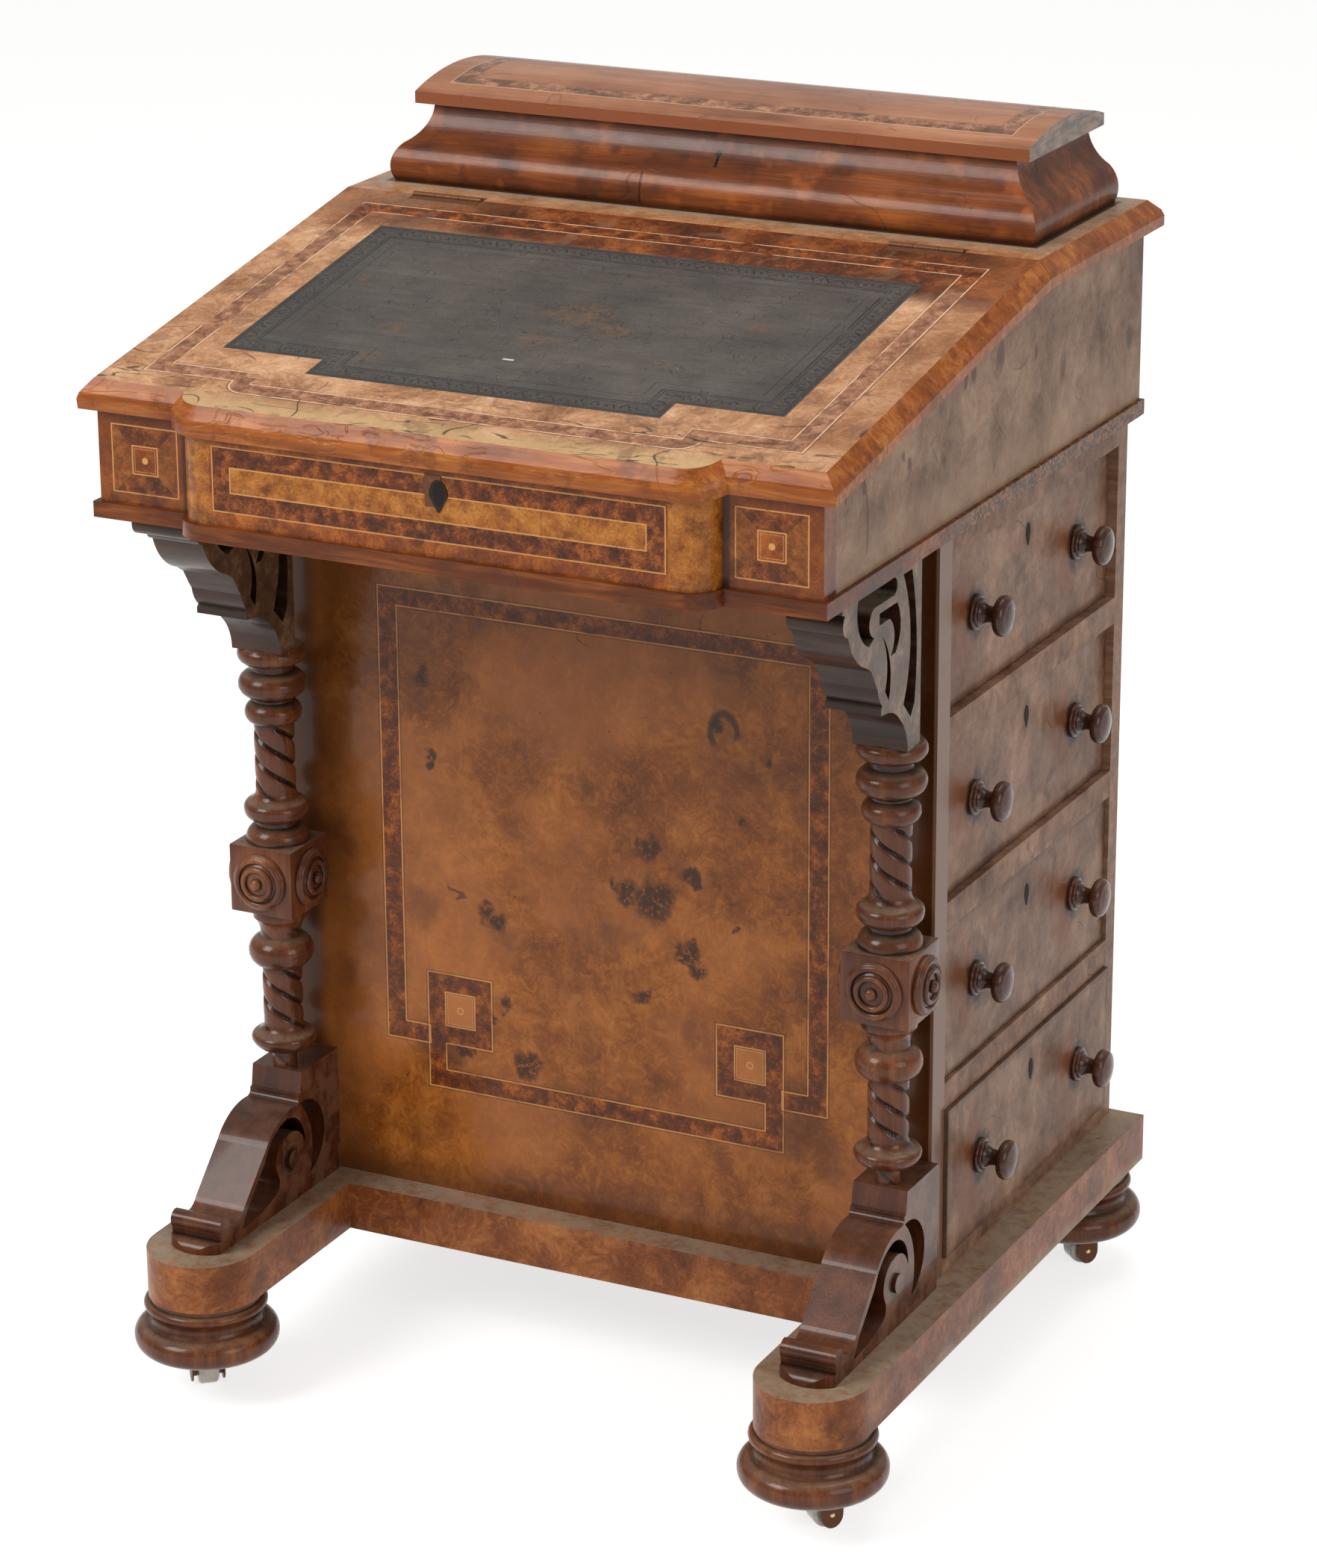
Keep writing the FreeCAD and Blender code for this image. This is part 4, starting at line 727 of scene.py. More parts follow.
def apron_finish():
    paint = Paint("burr_apron")
    ground, relief = burr(paint, *HONEY, 2.0, 26.0)
    dark, streaks = burr(paint, *CROSSBAND, 41.0, 8.0)
    pale, _ = burr(paint, *LIGHT_BURR, 17.0, 12.0)
    ring = paint.cells(paint.warped(paint.point, 9.0, 2.0), 17.0)
    eyes = within(ring, 0.10, 0.15, 0.03) * paint.mottle(30.0, 1.0).rises(0.46, 0.52)
    pale = paint.mix(eyes * 0.6, pale, HONEY[0])
    across = abs(paint.x)
    panel = inset(paint.x, paint.z, -166, 166, 687, 731)
    square = inset(across, paint.z, 205.3, 256, 684.5, 731)
    from_x, from_z = across - END_MIDDLE, paint.z - END_LEVEL
    lean = abs(from_x) - abs(from_z)
    light_dark, _ = burr(paint, *PANEL_BURR, 51.0, 9.0)
    quarters = paint.mix(lean.rises(-0.3, 0.3) * 0.65 + 0.1, dark, light_dark)
    middle = (abs(from_x).high(abs(from_z)) * -1) + 9.7
    strings = strongest(string_at(panel, 0), string_at(panel, 13.4), string_at(square, 0),
                        string_at(middle, 0), string_at(middle, 1.8, 0.5) * 0.6)
    mitre = abs(lean).rises(0.5, 0.2) * square.rises(0, 0.3) * middle.rises(0, -0.3)
    joints = abs(paint.x - 78).rises(0.4, 0.15) * panel.rises(0, 0.2)
    front = paint.facing(1).rises(-0.25, -0.45)
    ink = paint.noise((3, 0, 90), 24.0, 4.0, 0.65)
    dirt = paint.mottle(20.0, 3.0).rises(0.40, 0.75) * paint.z.rises(690, 677)
    colour = paint.coats(
        ground, (within(across, 168, 196.5, 0.8) * 0.9, pale),
        (across.rises(196.5, 199) * 0.55, CROSSBAND[1]), (panel.rises(-0.2, 0.2), dark),
        (panel.rises(13.3, 13.6), pale), (square.rises(-0.2, 0.2), quarters),
        (middle.rises(-0.2, 0.2) * 0.9, ground), (hypot(from_x, from_z).rises(2.5, 2.1), STRING),
        (mitre * 0.5, CROSSBAND[0]), (joints * 0.5, CROSSBAND[0]), (strings * 0.9 * front, STRING),
        (ink.rises(0.56, 0.68) * 0.5, (36, 15, 6)), (dirt * 0.6, STAIN),
        (within(across, 196.2, 201.5, 1.2) * 0.75, STAIN))
    height = relief * 0.5 + streaks * 0.3 + strings * 0.3
    return paint.finish(colour, polish(paint, 0.16, 0.28), height, 0.10, coat=0.1)


dress(apron_finish(), "front_apron")

# %% [markdown]
# ## The pedestal's front
# One bookmatched sheet of glossy burr fills the knee space. A dark crossband frames it and breaks, at the
# two lower corners, into a square ring round a dotted square. Its buds are real knots, so each one is
# placed one by one and given its own ragged outline.

# %% Pedestal front
KNOTS = ((-140.7, 507.6, 7), (-137.1, 444.8, 6), (38.4, 406.2, 11), (43.2, 370.1, 19), (19.6, 372.0, 12),
         (71.7, 389.2, 8), (9.5, 377.4, 6), (-82.1, 331.3, 11), (-92.7, 336.8, 9), (68.2, 332.4, 10),
         (74.8, 320.6, 9), (29.1, 294.7, 8), (-79.8, 268.9, 7), (-86.4, 255.1, 4), (-61.3, 225.6, 12),
         (-112.4, 224.6, 9), (108.2, 358.5, 4), (129.4, 480.3, 5), (111.5, 436.8, 5), (89.0, 505.0, 6))
PANEL_FRONT = 208.6


def pedestal_finish():
    paint = Paint("burr_pedestal")
    across = abs(paint.x)
    field, relief = burr(paint, *PANEL_BURR, 61.0, 52.0)
    glow = paint.noise((5, 0, 60), 120.0, 2.0)
    smoke = paint.noise((40, 0, 0), 60.0, 3.0, 0.6)
    ragged = paint.warped(paint.warped(paint.point, 16.0, 22.0), 5.0, 6.0)
    marks = strongest(*(spot(paint, ragged, (x, PANEL_FRONT - FRONT_MM, z), size * 1.2, 0.35)
                        for x, z, size in KNOTS))
    grit = paint.mottle(3.0, 3.0, 0.7)
    ring = hypot(paint.x - 96, paint.z - 500, 0.55)
    hoof = within(ring + (grit - 0.5) * 3, 8, 12.5, 1.2) * (paint.z - paint.x * 0.4).rises(450, 458)
    lines = cracks(paint, 44.0, 0.34, 3.0)
    field = paint.coats(
        field, (glow.rises(0.45, 0.62) * 0.55, (172, 104, 54)),
        (glow.rises(0.46, 0.30) * 0.5, (104, 56, 26)),
        # beyond 222 mm out the panel is painted dark: painted shade in the gap between the stiles and the
        # columns
        (across.rises(196, 240) * 0.35, (150, 82, 30)), (across.rises(222, 238) * 0.85, (44, 22, 10)),
        (paint.z.rises(150, 116) * 0.6, (70, 38, 20)),
        (paint.x.rises(-120, -230) * paint.z.rises(250, 420) * 0.45, (74, 44, 26)),
        (smoke.rises(0.52, 0.70) * 0.5, (84, 44, 24)), (marks.rises(0.05, 0.6) * 0.35, (92, 46, 22)),
        (marks * grit.rises(0.36, 0.50) * 0.85, (42, 22, 14)), (hoof * 0.8, (46, 26, 20)),
        (lines * 0.7, (60, 30, 18)), (specks(paint, 12.0, 0.40, 21.0) * 0.7, (70, 36, 20)))
    band, streaks = burr(paint, *CROSSBAND, 71.0, 8.5)
    upright, top, short, ring_out, ring_in, leg, foot = (inset(across, paint.z, *edges) for edges in (
        (161, 176, 227, 571), (-176, 176, 557.5, 571), (141, 176, 227, 241), (90, 142, 229, 283),
        (104, 128, 243, 269), (128, 142, 194, 283), (-142, 142, 194, 208)))
    border = strongest(upright, top, short)
    rings = strongest(ring_out.low(ring_in * -1), leg, foot)
    dotted = ring_in - 1.5
    strings = strongest(string_at(border, 0, 0.8), string_at(rings, 0, 0.8), string_at(dotted, 0, 0.7))
    worn = paint.mottle(30.0, 2.0).rises(0.32, 0.50)
    shade = string_at(border, -1.2, 0.7).high(string_at(rings, -1.2, 0.7))
    colour = paint.coats(
        field, (border.high(rings).rises(-0.2, 0.2) * 0.92, band),
        (dotted.rises(-0.2, 0.2) * 0.6, (188, 116, 62)),
        (within(hypot(across - 116, paint.z - 256), 1.9, 2.8, 0.2) * 0.8, STRING),
        (strings * (worn * 0.5 + 0.4), STRING), (shade * 0.5, (70, 34, 18)),
        (across.rises(252.5, 254.0) * 0.8, FADED_DRAWER[1]))
    height = relief * 0.4 + streaks * 0.3 - lines * 2 - marks * grit
    return paint.finish(colour, polish(paint, 0.16, 0.30, 40.0), height, 0.12, coat=0.10)


dress(pedestal_finish(), "pedestal_front_panel")

# %% [markdown]
# ## The stationery box
# The box behind the slope is the glossiest piece, because its belly takes the light along one long
# highlight. Its lid is paler where sun reached it, with a narrow crossband, and its ends are bare end
# grain.

# %% Box
INK_BLOTS = ((-159, 840, 6), (101, 858, 8), (92, 856, 5), (203, 843, 1.6), (-77, 856, 4), (60, 862, 5))


def keyhole(across, up, wide, high):
    """1 inside a keyhole: a round head over a narrower slot."""
    head = hypot(across, up - high * 0.2).rises(wide / 2 + 0.2, wide / 2 - 0.2)
    return head.high(in_box(across, up, -wide / 4, wide / 4, -high / 2, high * 0.2))


def box_marks(paint, colour, height):
    """A darker neck, painted shade along the foot, one upright split, a few ink spots, and the keyhole
    painted dark as the hole's shade.
    """
    cloud = paint.noise((9, 4, 0), 34.0, 3.0, 0.6)
    rim = cloud - 0.5
    split = abs(paint.x + 49.2 + rim * 6).rises(0.9, 0.3) * within(paint.z, 822, 846, 2)
    blots = strongest(*((hypot(paint.z - z, paint.x - x, 0.4) + rim * size).rises(size, size * 0.3)
                        for x, z, size in INK_BLOTS))
    front = paint.facing(1).rises(0.1, -0.1)
    return paint.coats(
        colour, (paint.z.rises(850, 864) * 0.45, (88, 52, 38)),
        (cloud.rises(0.54, 0.70) * 0.55, (62, 30, 18)), (cloud.rises(0.46, 0.30) * 0.45, (190, 106, 50)),
        (split.high(blots * 0.6) * front * 0.85, (30, 16, 12)),
        # the bottom few millimetres are painted dark: painted shade where the box stands on the top board
        (paint.z.rises(827, 822) * 0.6, (34, 20, 14)),
        # the keyhole is painted near-black as the shade inside the hole
        (keyhole(paint.x - 3.3, paint.z - 857.5, 4.6, 12.0) * front, (16, 10, 8))), height - split * 4


def box_lid_marks(paint, colour, height):
    """The crossband near the edge, a polished front edge, and grey end grain."""
    depth = inset(paint.x, paint.deep, -219, 219, 409.5, 511.5)
    upper = paint.facing(2).rises(0.2, 0.4)
    band, _ = burr(paint, *FADED_BAND, 13.0, 10.0)
    patch = paint.mottle(17.0, 3.0, 0.6).rises(0.46, 0.60)
    band = paint.mix(patch * 0.75, band, (84, 60, 44))
    rays = paint.noise(paint.stretched(paint.point, 1, 0.25, 1), 5.0, 3.0, 0.6)
    grey = paint.mix(rays.rises(0.35, 0.65), (92, 68, 54), (150, 122, 102))
    return paint.coats(
        colour, (within(depth, 0, 12.5) * upper, band),
        (string_at(depth, -0.4, 0.8) * 0.5 * upper, PALE_STRING),
        (string_at(depth, 13.0, 0.8) * 0.5 * upper, (92, 58, 42)),
        (specks(paint, 14.0, 0.42, 4.0) * 0.6, (74, 44, 32)),
        (paint.facing(1).rises(-0.85, -0.93) * 0.85, (140, 72, 30)),
        (abs(paint.facing(0)).rises(0.7, 0.9), grey)), height


def top_marks(paint, colour, height):
    """Dust gathers against the box, the sun has bleached the strip that the box leaves free, and painted
    shade lines the box's foot.
    """
    top = paint.facing(2).rises(0.97, 0.99)
    bare, _ = burr(paint, *FADED_LID, 44.0, 40.0)
    near_box = inset(paint.x, paint.deep, -252, 252, 374, 529)
    patchy = paint.mottle(9.0, 4.0, 0.6)
    dusty = near_box.rises(-22, -3) * patchy.rises(0.25, 0.6) * top
    return paint.coats(colour, (top * 0.8, bare), (dusty * 0.75, (160, 150, 132)),
                       # a narrow near-black rim just outside the box: painted shade where the box stands on
                       # the board
                       (near_box.rises(-3.2, -0.6) * 0.9, (38, 26, 20))), height


dress(wood("walnut_box", plain_wood, BOX_WOOD, (0.24, 0.40), 11.0, stained=0.30, coat=0.12, scratched=0.35,
           extra=box_marks, width=13.0), "box_front", "box_sides", "box_back")
dress(wood("walnut_box_lid", plain_wood, BOX_LID, (0.22, 0.38), 17.0, coat=0.25, scratched=0.3,
           extra=box_lid_marks, width=12.0), "box_lid")
dress(wood("walnut_top", plain_wood, ORANGE, (0.26, 0.42), 5.0, scratched=0.4, extra=top_marks),
      "top_board")

# %% [markdown]
# ## Brass and ceramic
# The brass has gone brown with age and shines only where it is rubbed, so its metal share varies. The
# caster wheels are white glazed stoneware with grime in the glaze.

# %% Metal and glaze
CORNERS = [f"{depth}_{side}" for depth in ("front", "rear") for side in ("left", "right")]


def brass_finish(name, brown, shine, tarnished=(104, 66, 42)):
    paint = Paint(name)
    age = paint.mottle(5.0, 4.0, 0.65)
    rub = paint.mottle(1.3, 3.0, 0.6)
    tarnish = age.rises(0.62 - brown * 0.4, 0.78 - brown * 0.3)
    green = paint.noise((9, 9, 9), 3.0, 3.0, 0.6).rises(0.62, 0.74)
    colour = paint.coats(shine, (tarnish, tarnished), (green * 0.35, (96, 104, 82)))
    return paint.finish(colour, rub * 0.3 + 0.24, age * 0.7 + rub * 0.3, 0.15, metallic=1 - tarnish * 0.75)


dress(brass_finish("aged_brass", 1.0, (140, 106, 64)), "case_locks", "hinge_leaves_fixed",
      "slope_hinge_leaves", "box_hinge_leaves", *(f"drawer_{number}_lock" for number in range(1, 5)))
horn_brass = brass_finish("browned_brass", 1.1, (140, 96, 62))
dress(horn_brass, *(f"caster_horn_{corner}" for corner in CORNERS))
glaze = Paint("white_glaze")
grubby = glaze.mottle(7.0, 4.0, 0.6)
glaze_colour = glaze.mix(grubby.rises(0.48, 0.72) * 0.5, (232, 226, 214), (176, 160, 138))
dress(glaze.finish(glaze_colour, grubby * 0.2 + 0.06, grubby, 0.05, coat=0.6),
      *(f"caster_wheel_{corner}" for corner in CORNERS))

# %% [markdown]
# ## Making new pieces
# A new piece starts as a bmesh, is shaped by operators, and becomes an object at the origin that rides on
# one body of the frame.

# %% Piece helper
def at(x, y, z):
    """A place in millimetres, y counted from the apron's face, as the frame wants it."""
    return Vector((x * MM, y * MM - FRONT, z * MM))


def piece(name, shape, material, body, smooth=30.0):
    """Turns a bmesh, in metres and in place, into a piece that rides on a body."""
    bmesh.ops.remove_doubles(shape, verts=shape.verts[:], dist=0.00001)
    bmesh.ops.recalc_face_normals(shape, faces=shape.faces[:])
    made = stand(name, bpy.data.meshes.new(name))
    shape.to_mesh(made.data)
    shape.free()
    made.data.materials.append(material)
    made.data.shade_smooth()
    made.data.set_sharp_from_angle(angle=math.radians(smooth))
    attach(made, body)
    return made


def move(shape, verts, turn, place):
    """Turns vertices about the origin, then carries them to a place."""
    bmesh.ops.rotate(shape, verts=verts, cent=(0, 0, 0), matrix=turn)
    bmesh.ops.translate(shape, verts=verts, vec=place)


def thicken(shape, faces, by):
    """Extrudes flat faces by a vector and returns the vertices that moved."""
    rim = bmesh.ops.extrude_face_region(shape, geom=faces)
    moved = [item for item in rim["geom"] if isinstance(item, bmesh.types.BMVert)]
    bmesh.ops.translate(shape, verts=moved, vec=by)
    return moved


def lathe(shape, profile, steps):
    """Spins a profile of (radius, height) points in millimetres about Z and returns the new vertices."""
    before = set(shape.verts)
    line = [shape.verts.new((radius * MM, 0, height * MM)) for radius, height in profile]
    edges = [shape.edges.new(pair) for pair in zip(line, line[1:])]
    bmesh.ops.spin(shape, geom=line + edges, cent=(0, 0, 0), axis=(0, 0, 1), dvec=(0, 0, 0),
                   angle=2 * math.pi, steps=steps, use_merge=True, use_duplicate=False)
    bmesh.ops.remove_doubles(shape, verts=shape.verts[:], dist=0.000001)
    return [vert for vert in shape.verts if vert not in before]


def curved(points, steps=7):
    """A profile whose nested pairs are arcs: (via, end) after a plain point gives an arc through via."""
    full = [points[0]]
    for step in points[1:]:
        if isinstance(step[0], tuple):
            full.extend(arc_points(full[-1], *step, steps))
        else:
            full.append(step)
    return full


def arc_points(start, via, end, steps):
    """Points on the circle through three places, after the first."""
    (ax, ay), (bx, by), (cx, cy) = start, via, end
    twice = 2 * (ax * (by - cy) + bx * (cy - ay) + cx * (ay - by))
    a, b, c = ax * ax + ay * ay, bx * bx + by * by, cx * cx + cy * cy
    ox = (a * (by - cy) + b * (cy - ay) + c * (ay - by)) / twice
    oy = (a * (cx - bx) + b * (ax - cx) + c * (bx - ax)) / twice
    radius = math.hypot(ax - ox, ay - oy)
    first, middle, last = (math.atan2(y - oy, x - ox) for x, y in (start, via, end))
    turn = (last - first) % (2 * math.pi)
    if (middle - first) % (2 * math.pi) > turn:
        turn -= 2 * math.pi
    angles = (first + turn * n / steps for n in range(1, steps + 1))
    return [(ox + radius * math.cos(angle), oy + radius * math.sin(angle)) for angle in angles]


# %% [markdown]
# ## The columns
# Each column is two turnings with a square block between them. The plain shafts were fluted on the lathe
# with a rope cutter: three narrow grooves wind round them and fall to the right. The profile is spun, and
# the fine rings of the shafts are then pushed in where a groove passes.

# %% Columns
COLUMN_X = 240.35
COLUMN_Y = 168.0
FOOT, LOW, HIGH, HEAD = 209.0, 332.5, 383.5, 530.0      # ends of the lower and the upper turning
WIDE, WAIST = 24.5, 14.4
BLOCK_SIDE, BLOCK_BEVEL = 51, 1.2
STARTS = 3
LEAD = 55.5             # rise of one groove in a full turn
GROOVE_DEEP = 2.3
GROOVE_WIDE = 1.5
LOWER_SHAFT = (FOOT + 36, LOW - 46)
UPPER_SHAFT = (HIGH + 38, HEAD - 58)
SHAFT_STEP = 1.2
ROUND_STEPS = 112


def shaft_rings(start, end):
    count = round((end - start) / SHAFT_STEP)
    return [(WAIST, start + (end - start) * n / count) for n in range(count + 1)]


lower_profile = curved([
    (0, FOOT), (9, FOOT), (9, FOOT + 13), ((WIDE - 5, FOOT + 15), (WIDE - 1.4, FOOT + 19.5)),
    ((WIDE - 0.9, FOOT + 23), (WIDE - 3.5, FOOT + 26)), ((WAIST + 1.6, FOOT + 29), (WAIST, FOOT + 36))])
lower_profile += shaft_rings(*LOWER_SHAFT) + curved([
    (WAIST + 1.5, LOW - 45.5), ((WIDE - 0.8, LOW - 34), (WAIST + 1.5, LOW - 22.5)), (WAIST + 0.5, LOW - 22),
    ((WAIST + 1, LOW - 15), (WIDE - 6, LOW - 9)), (WIDE - 5, LOW - 8), (WIDE - 5, LOW + 1), (0, LOW + 1)])
upper_profile = curved([
    (0, HIGH - 1), (WIDE - 2, HIGH - 1), (WIDE - 2, HIGH), ((WIDE - 2.4, HIGH + 5), (WAIST + 3, HIGH + 11)),
    (WAIST + 0.5, HIGH + 12), (WAIST + 0.5, HIGH + 15.5), (WAIST + 3, HIGH + 16),
    ((WIDE - 3, HIGH + 18.5), (WIDE - 1.2, HIGH + 23)), ((WIDE - 1.3, HIGH + 26.5), (WIDE - 4, HIGH + 30)),
    ((WAIST + 1.7, HIGH + 33), (WAIST, HIGH + 38))])
upper_profile += shaft_rings(*UPPER_SHAFT) + curved([
    (WAIST + 1.5, HEAD - 57.5), ((WIDE - 4, HEAD - 49.5), (WAIST + 1.5, HEAD - 42)), (WAIST, HEAD - 41),
    (WAIST, HEAD - 39.5), (WAIST + 1.2, HEAD - 38), ((WIDE, HEAD - 28.5), (WAIST + 1.2, HEAD - 19)),
    (WAIST + 0.5, HEAD - 18.5), (WAIST + 0.5, HEAD - 14.5), (WIDE - 6, HEAD - 13),
    ((WIDE, HEAD - 6.5), (WIDE - 3, HEAD)), (0, HEAD)])


def cut_flutes(verts, start, end):
    """Pushes shaft vertices inwards along three falling grooves; the grooves fade out at both ends."""
    for vert in verts:
        height = vert.co.z / MM
        if not start + 0.5 < height < end - 0.5:
            continue
        turned_share = math.atan2(vert.co.y, vert.co.x) / (2 * math.pi)
        phase = (STARTS * (turned_share + height / LEAD)) % 1.0
        away = (min(phase, 1 - phase) * LEAD / STARTS) * math.cos(math.atan(LEAD / (2 * math.pi * WAIST)))
        fade = min(1.0, (height - start) / 3, (end - height) / 3)
        swell = 0.15 * math.cos(2 * math.pi * phase)
        push = fade * (GROOVE_DEEP * math.exp(-(away / GROOVE_WIDE) ** 2) + swell)
        vert.co.xy *= 1 - push / WAIST


def flute_marks(paint, colour, height):
    """Dirt and painted shade in the three winding grooves, found from the angle round the column and the
    height.
    """
    across = paint.x - paint.x.math("SIGN") * COLUMN_X
    along = paint.deep - COLUMN_Y
    angle = along.math("ARCTAN2", across) / (2 * math.pi)
    phase = ((angle + paint.z / LEAD) * STARTS).math("FRACT")
    away = phase.low(1 - phase) * (LEAD / STARTS)
    shaft = hypot(across, along).rises(16.2, 15.4)
    worn = paint.mottle(8.0, 3.0).rises(0.25, 0.45)
    # the grooves are painted dark, patchy where worn: dirt and painted shade
    return paint.mix(away.rises(2.3, 1.1) * shaft * worn * 0.85, colour, GRIME_AND_SHADE), height


turned_walnut = wood("walnut_column", plain_wood, RED_TURNED, (0.18, 0.36), 2.0, dusty=0.45, coat=0.2,
                     scratched=0.2, grime_and_shade=0.95, extra=flute_marks, width=12.0, along="z")
for side, sign in (("left", -1), ("right", 1)):
    shape = bmesh.new()
    for profile, shaft in ((lower_profile, LOWER_SHAFT), (upper_profile, UPPER_SHAFT)):
        cut_flutes(lathe(shape, profile, ROUND_STEPS), *shaft)
    block = bmesh.ops.create_cube(shape, size=BLOCK_SIDE * MM)["verts"]
    bmesh.ops.translate(shape, verts=block, vec=(0, 0, (LOW + HIGH) / 2 * MM))
    block_edges = {edge for vert in block for edge in vert.link_edges}
    bmesh.ops.bevel(shape, geom=list(block_edges), offset=BLOCK_BEVEL * MM, segments=2, profile=0.5,
                    affect="EDGES", material=-1)
    bmesh.ops.translate(shape, verts=shape.verts[:], vec=at(sign * COLUMN_X, COLUMN_Y, 0))
    column = piece(f"fluted_column_{side}", shape, turned_walnut, "desk", 35)
    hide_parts(f"column_{side}")
    print(column.name, len(column.data.polygons), "faces")

# %% [markdown]
# ## Knobs
# A knob is one spun profile: a dished base, a thin waist, and a lens-shaped head that the thumb has
# polished. Dust settles on its faces that look up.

# %% Knobs
DRAWER_FACES = (248.2, 249.7, 252.7, 258.7)     # each front stands out further than the one above
LEFT_FACE = -255.7
KNOB_PROFILE = curved([
    (0, -0.6), (12.4, -0.6), (12.6, 0.4), ((12.9, 1.6), (11.9, 2.8)), (10.4, 3.2), ((9.8, 4.6), (8.2, 5.2)),
    ((6.2, 8.6), (5.7, 12.0)), ((6.6, 15.4), (9.8, 16.4)), ((13.4, 17.4), (14.4, 20.4)),
    ((13.4, 23.2), (9.6, 25.2)), ((5.2, 26.4), (0, 26.8))], 6)


def knob_pair(shape, face_x, low, outward):
    """Two knobs of one drawer, standing on its face."""
    for side in (-1, 1):
        place = at(face_x, DRAWER_MIDDLE + side * KNOB_SPREAD, low + KNOB_LEVEL)
        move(shape, lathe(shape, KNOB_PROFILE, 40), Matrix.Rotation(outward * QUARTER, 3, "Y"), place)


left_knobs = bmesh.new()
for number, (face_x, low) in enumerate(zip(DRAWER_FACES, DRAWER_FLOORS), 1):
    pair = bmesh.new()
    knob_pair(pair, face_x, low, 1)
    knob_pair(left_knobs, LEFT_FACE, low, -1)
    made = piece(f"turned_knobs_{number}", pair, knob_finish, f"drawer_{number}")
    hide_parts(f"drawer_{number}_knobs")
made = piece("turned_knobs_left", left_knobs, knob_finish, "desk")
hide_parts("dummy_knobs")

# %% [markdown]
# ## Keyholes
# Every drawer has a keyhole, and the apron has one in a pear-shaped escutcheon. Each is a flat plate whose
# outline is a circle drawn down to a narrow foot. The dark slot stands in front by a hair, so that no hole
# has to be cut in the wood. The box's small slot is painted with its wood.

# %% Keyholes
dark_slot = Paint("keyhole_shadow")
slot_grit = dark_slot.mottle(1.0)
slot_shadow = dark_slot.finish(dark_slot.mix(slot_grit, (14, 10, 8), (38, 28, 22)), slot_grit * 0.3 + 0.5,
                               slot_grit)
black_brass = brass_finish("blackened_brass", 1.25, (84, 74, 56), (44, 34, 26))


def set_plate(name, size, taper, thick, turn, place, material, body):
    """A key plate: a disc drawn down to a narrow foot, made facing -Y and then turned and placed."""
    width, height = size
    shape = bmesh.new()
    bmesh.ops.create_circle(shape, cap_ends=True, radius=0.5, segments=40)
    for vert in shape.verts:
        across, up = vert.co.x * 2, vert.co.y * 2
        narrow = 1.0 if up > 0 else 1 - (1 - taper) * (-up) ** 0.8
        vert.co = Vector((across * narrow * width / 2 * MM, 0, up * height / 2 * MM))
    thicken(shape, shape.faces[:], (0, -thick * MM, 0))
    move(shape, shape.verts[:], Matrix.Rotation(turn, 3, "Z"), place)
    piece(name, shape, material, body)


for number, (face_x, low) in enumerate(zip(DRAWER_FACES, DRAWER_FLOORS), 1):
    body = f"drawer_{number}"
    set_plate(f"keyhole_{body}", (7.6, 16.5), 0.45, 0.5, QUARTER,
              at(face_x - 0.2, DRAWER_MIDDLE, low + KEY_LEVEL - 1), slot_shadow, body)
set_plate("apron_escutcheon", (13.5, 22), 0.35, 1.0, 0, at(3.8, -19.9, 717.8), black_brass, "desk")
set_plate("apron_keyhole", (8.6, 16.5), 0.55, 0.35, 0, at(4.2, -20.75, 719.2), slot_shadow, "desk")

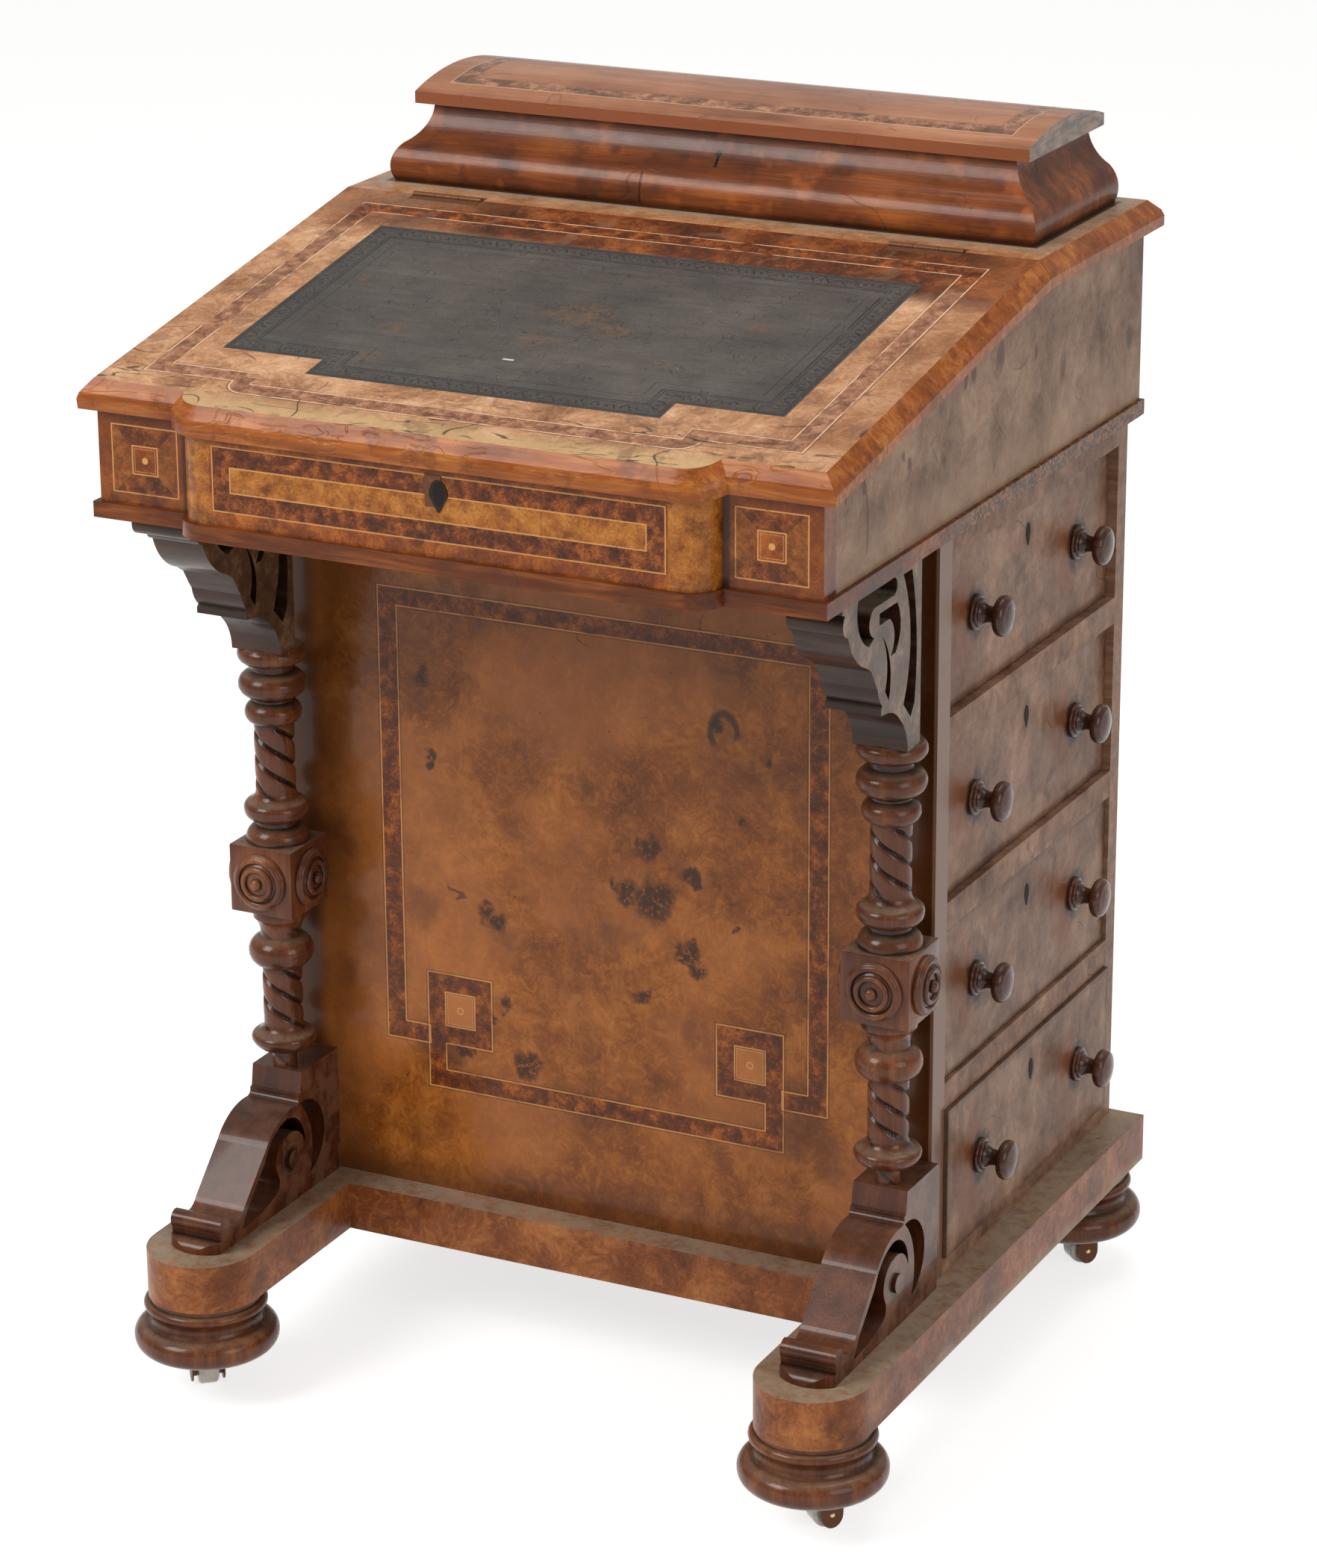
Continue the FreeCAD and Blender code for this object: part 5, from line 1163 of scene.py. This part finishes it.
# %% [markdown]
# ## Caster cheeks and rivets
# A horn's arms end in broad brass cheeks that hide most of the wheel. The axle is riveted over outside
# them, and rubbing keeps its two heads bright. Both are built round the wheel's middle and then turned
# and moved together.

# %% Cheeks and rivets
TRAIL_TURN = math.radians(40)
WHEEL_X = 246.135
WHEEL_Y = {"front": 54.894, "rear": 522.394}
AXLE_HIGH = 12
ARM_OUT = 10.9          # from the wheel's middle to the outer face of an arm
CHEEK_THICK = 1.2
CHEEK_ROUND = 10.0
CHEEK_HIGH = 19.5
RIVET_PROFILE = curved([(0, 0), (1.9, 0), ((1.4, 0.8), (0, 1.1))], 5)
rivet_brass = brass_finish("rubbed_rivets", 0.25, (226, 200, 160))


def cheek(shape):
    """A brass plate, round below and straight above, facing +X with its back at the origin."""
    made = bmesh.ops.create_circle(shape, cap_ends=True, radius=1.0, segments=48)["verts"]
    for vert in made:
        across, up = vert.co.x, vert.co.y
        reach = CHEEK_HIGH if up > 0 else CHEEK_ROUND
        if up > 0:
            across = math.copysign(abs(across) ** 0.35, across)
        vert.co = Vector((0, across * CHEEK_ROUND * 0.82 * MM, up * reach * MM))
    faces = [face for face in shape.faces if made[0] in face.verts]
    return made + thicken(shape, faces, (CHEEK_THICK * MM, 0, 0))


for corner in CORNERS:
    row, side = corner.split("_")
    sign = 1 if side == "right" else -1
    swing = Matrix.Rotation(-sign * TRAIL_TURN, 3, "Z")
    cheeks, heads = bmesh.new(), bmesh.new()
    for end in (-1, 1):
        spots = ((cheeks, cheek(cheeks), ARM_OUT, Matrix.Rotation(math.pi if end < 0 else 0, 3, "Z")),
                 (heads, lathe(heads, RIVET_PROFILE, 20), ARM_OUT + CHEEK_THICK,
                  Matrix.Rotation(end * QUARTER, 3, "Y")))
        for shape, verts, reach, turn in spots:
            move(shape, verts, swing @ turn, at(
                sign * WHEEL_X + end * reach * math.cos(TRAIL_TURN),
                WHEEL_Y[row] - sign * end * reach * math.sin(TRAIL_TURN), AXLE_HIGH))
    piece(f"cheeks_{corner}", cheeks, horn_brass, f"caster_{corner}")
    piece(f"rivets_{corner}", heads, rivet_brass, f"caster_{corner}")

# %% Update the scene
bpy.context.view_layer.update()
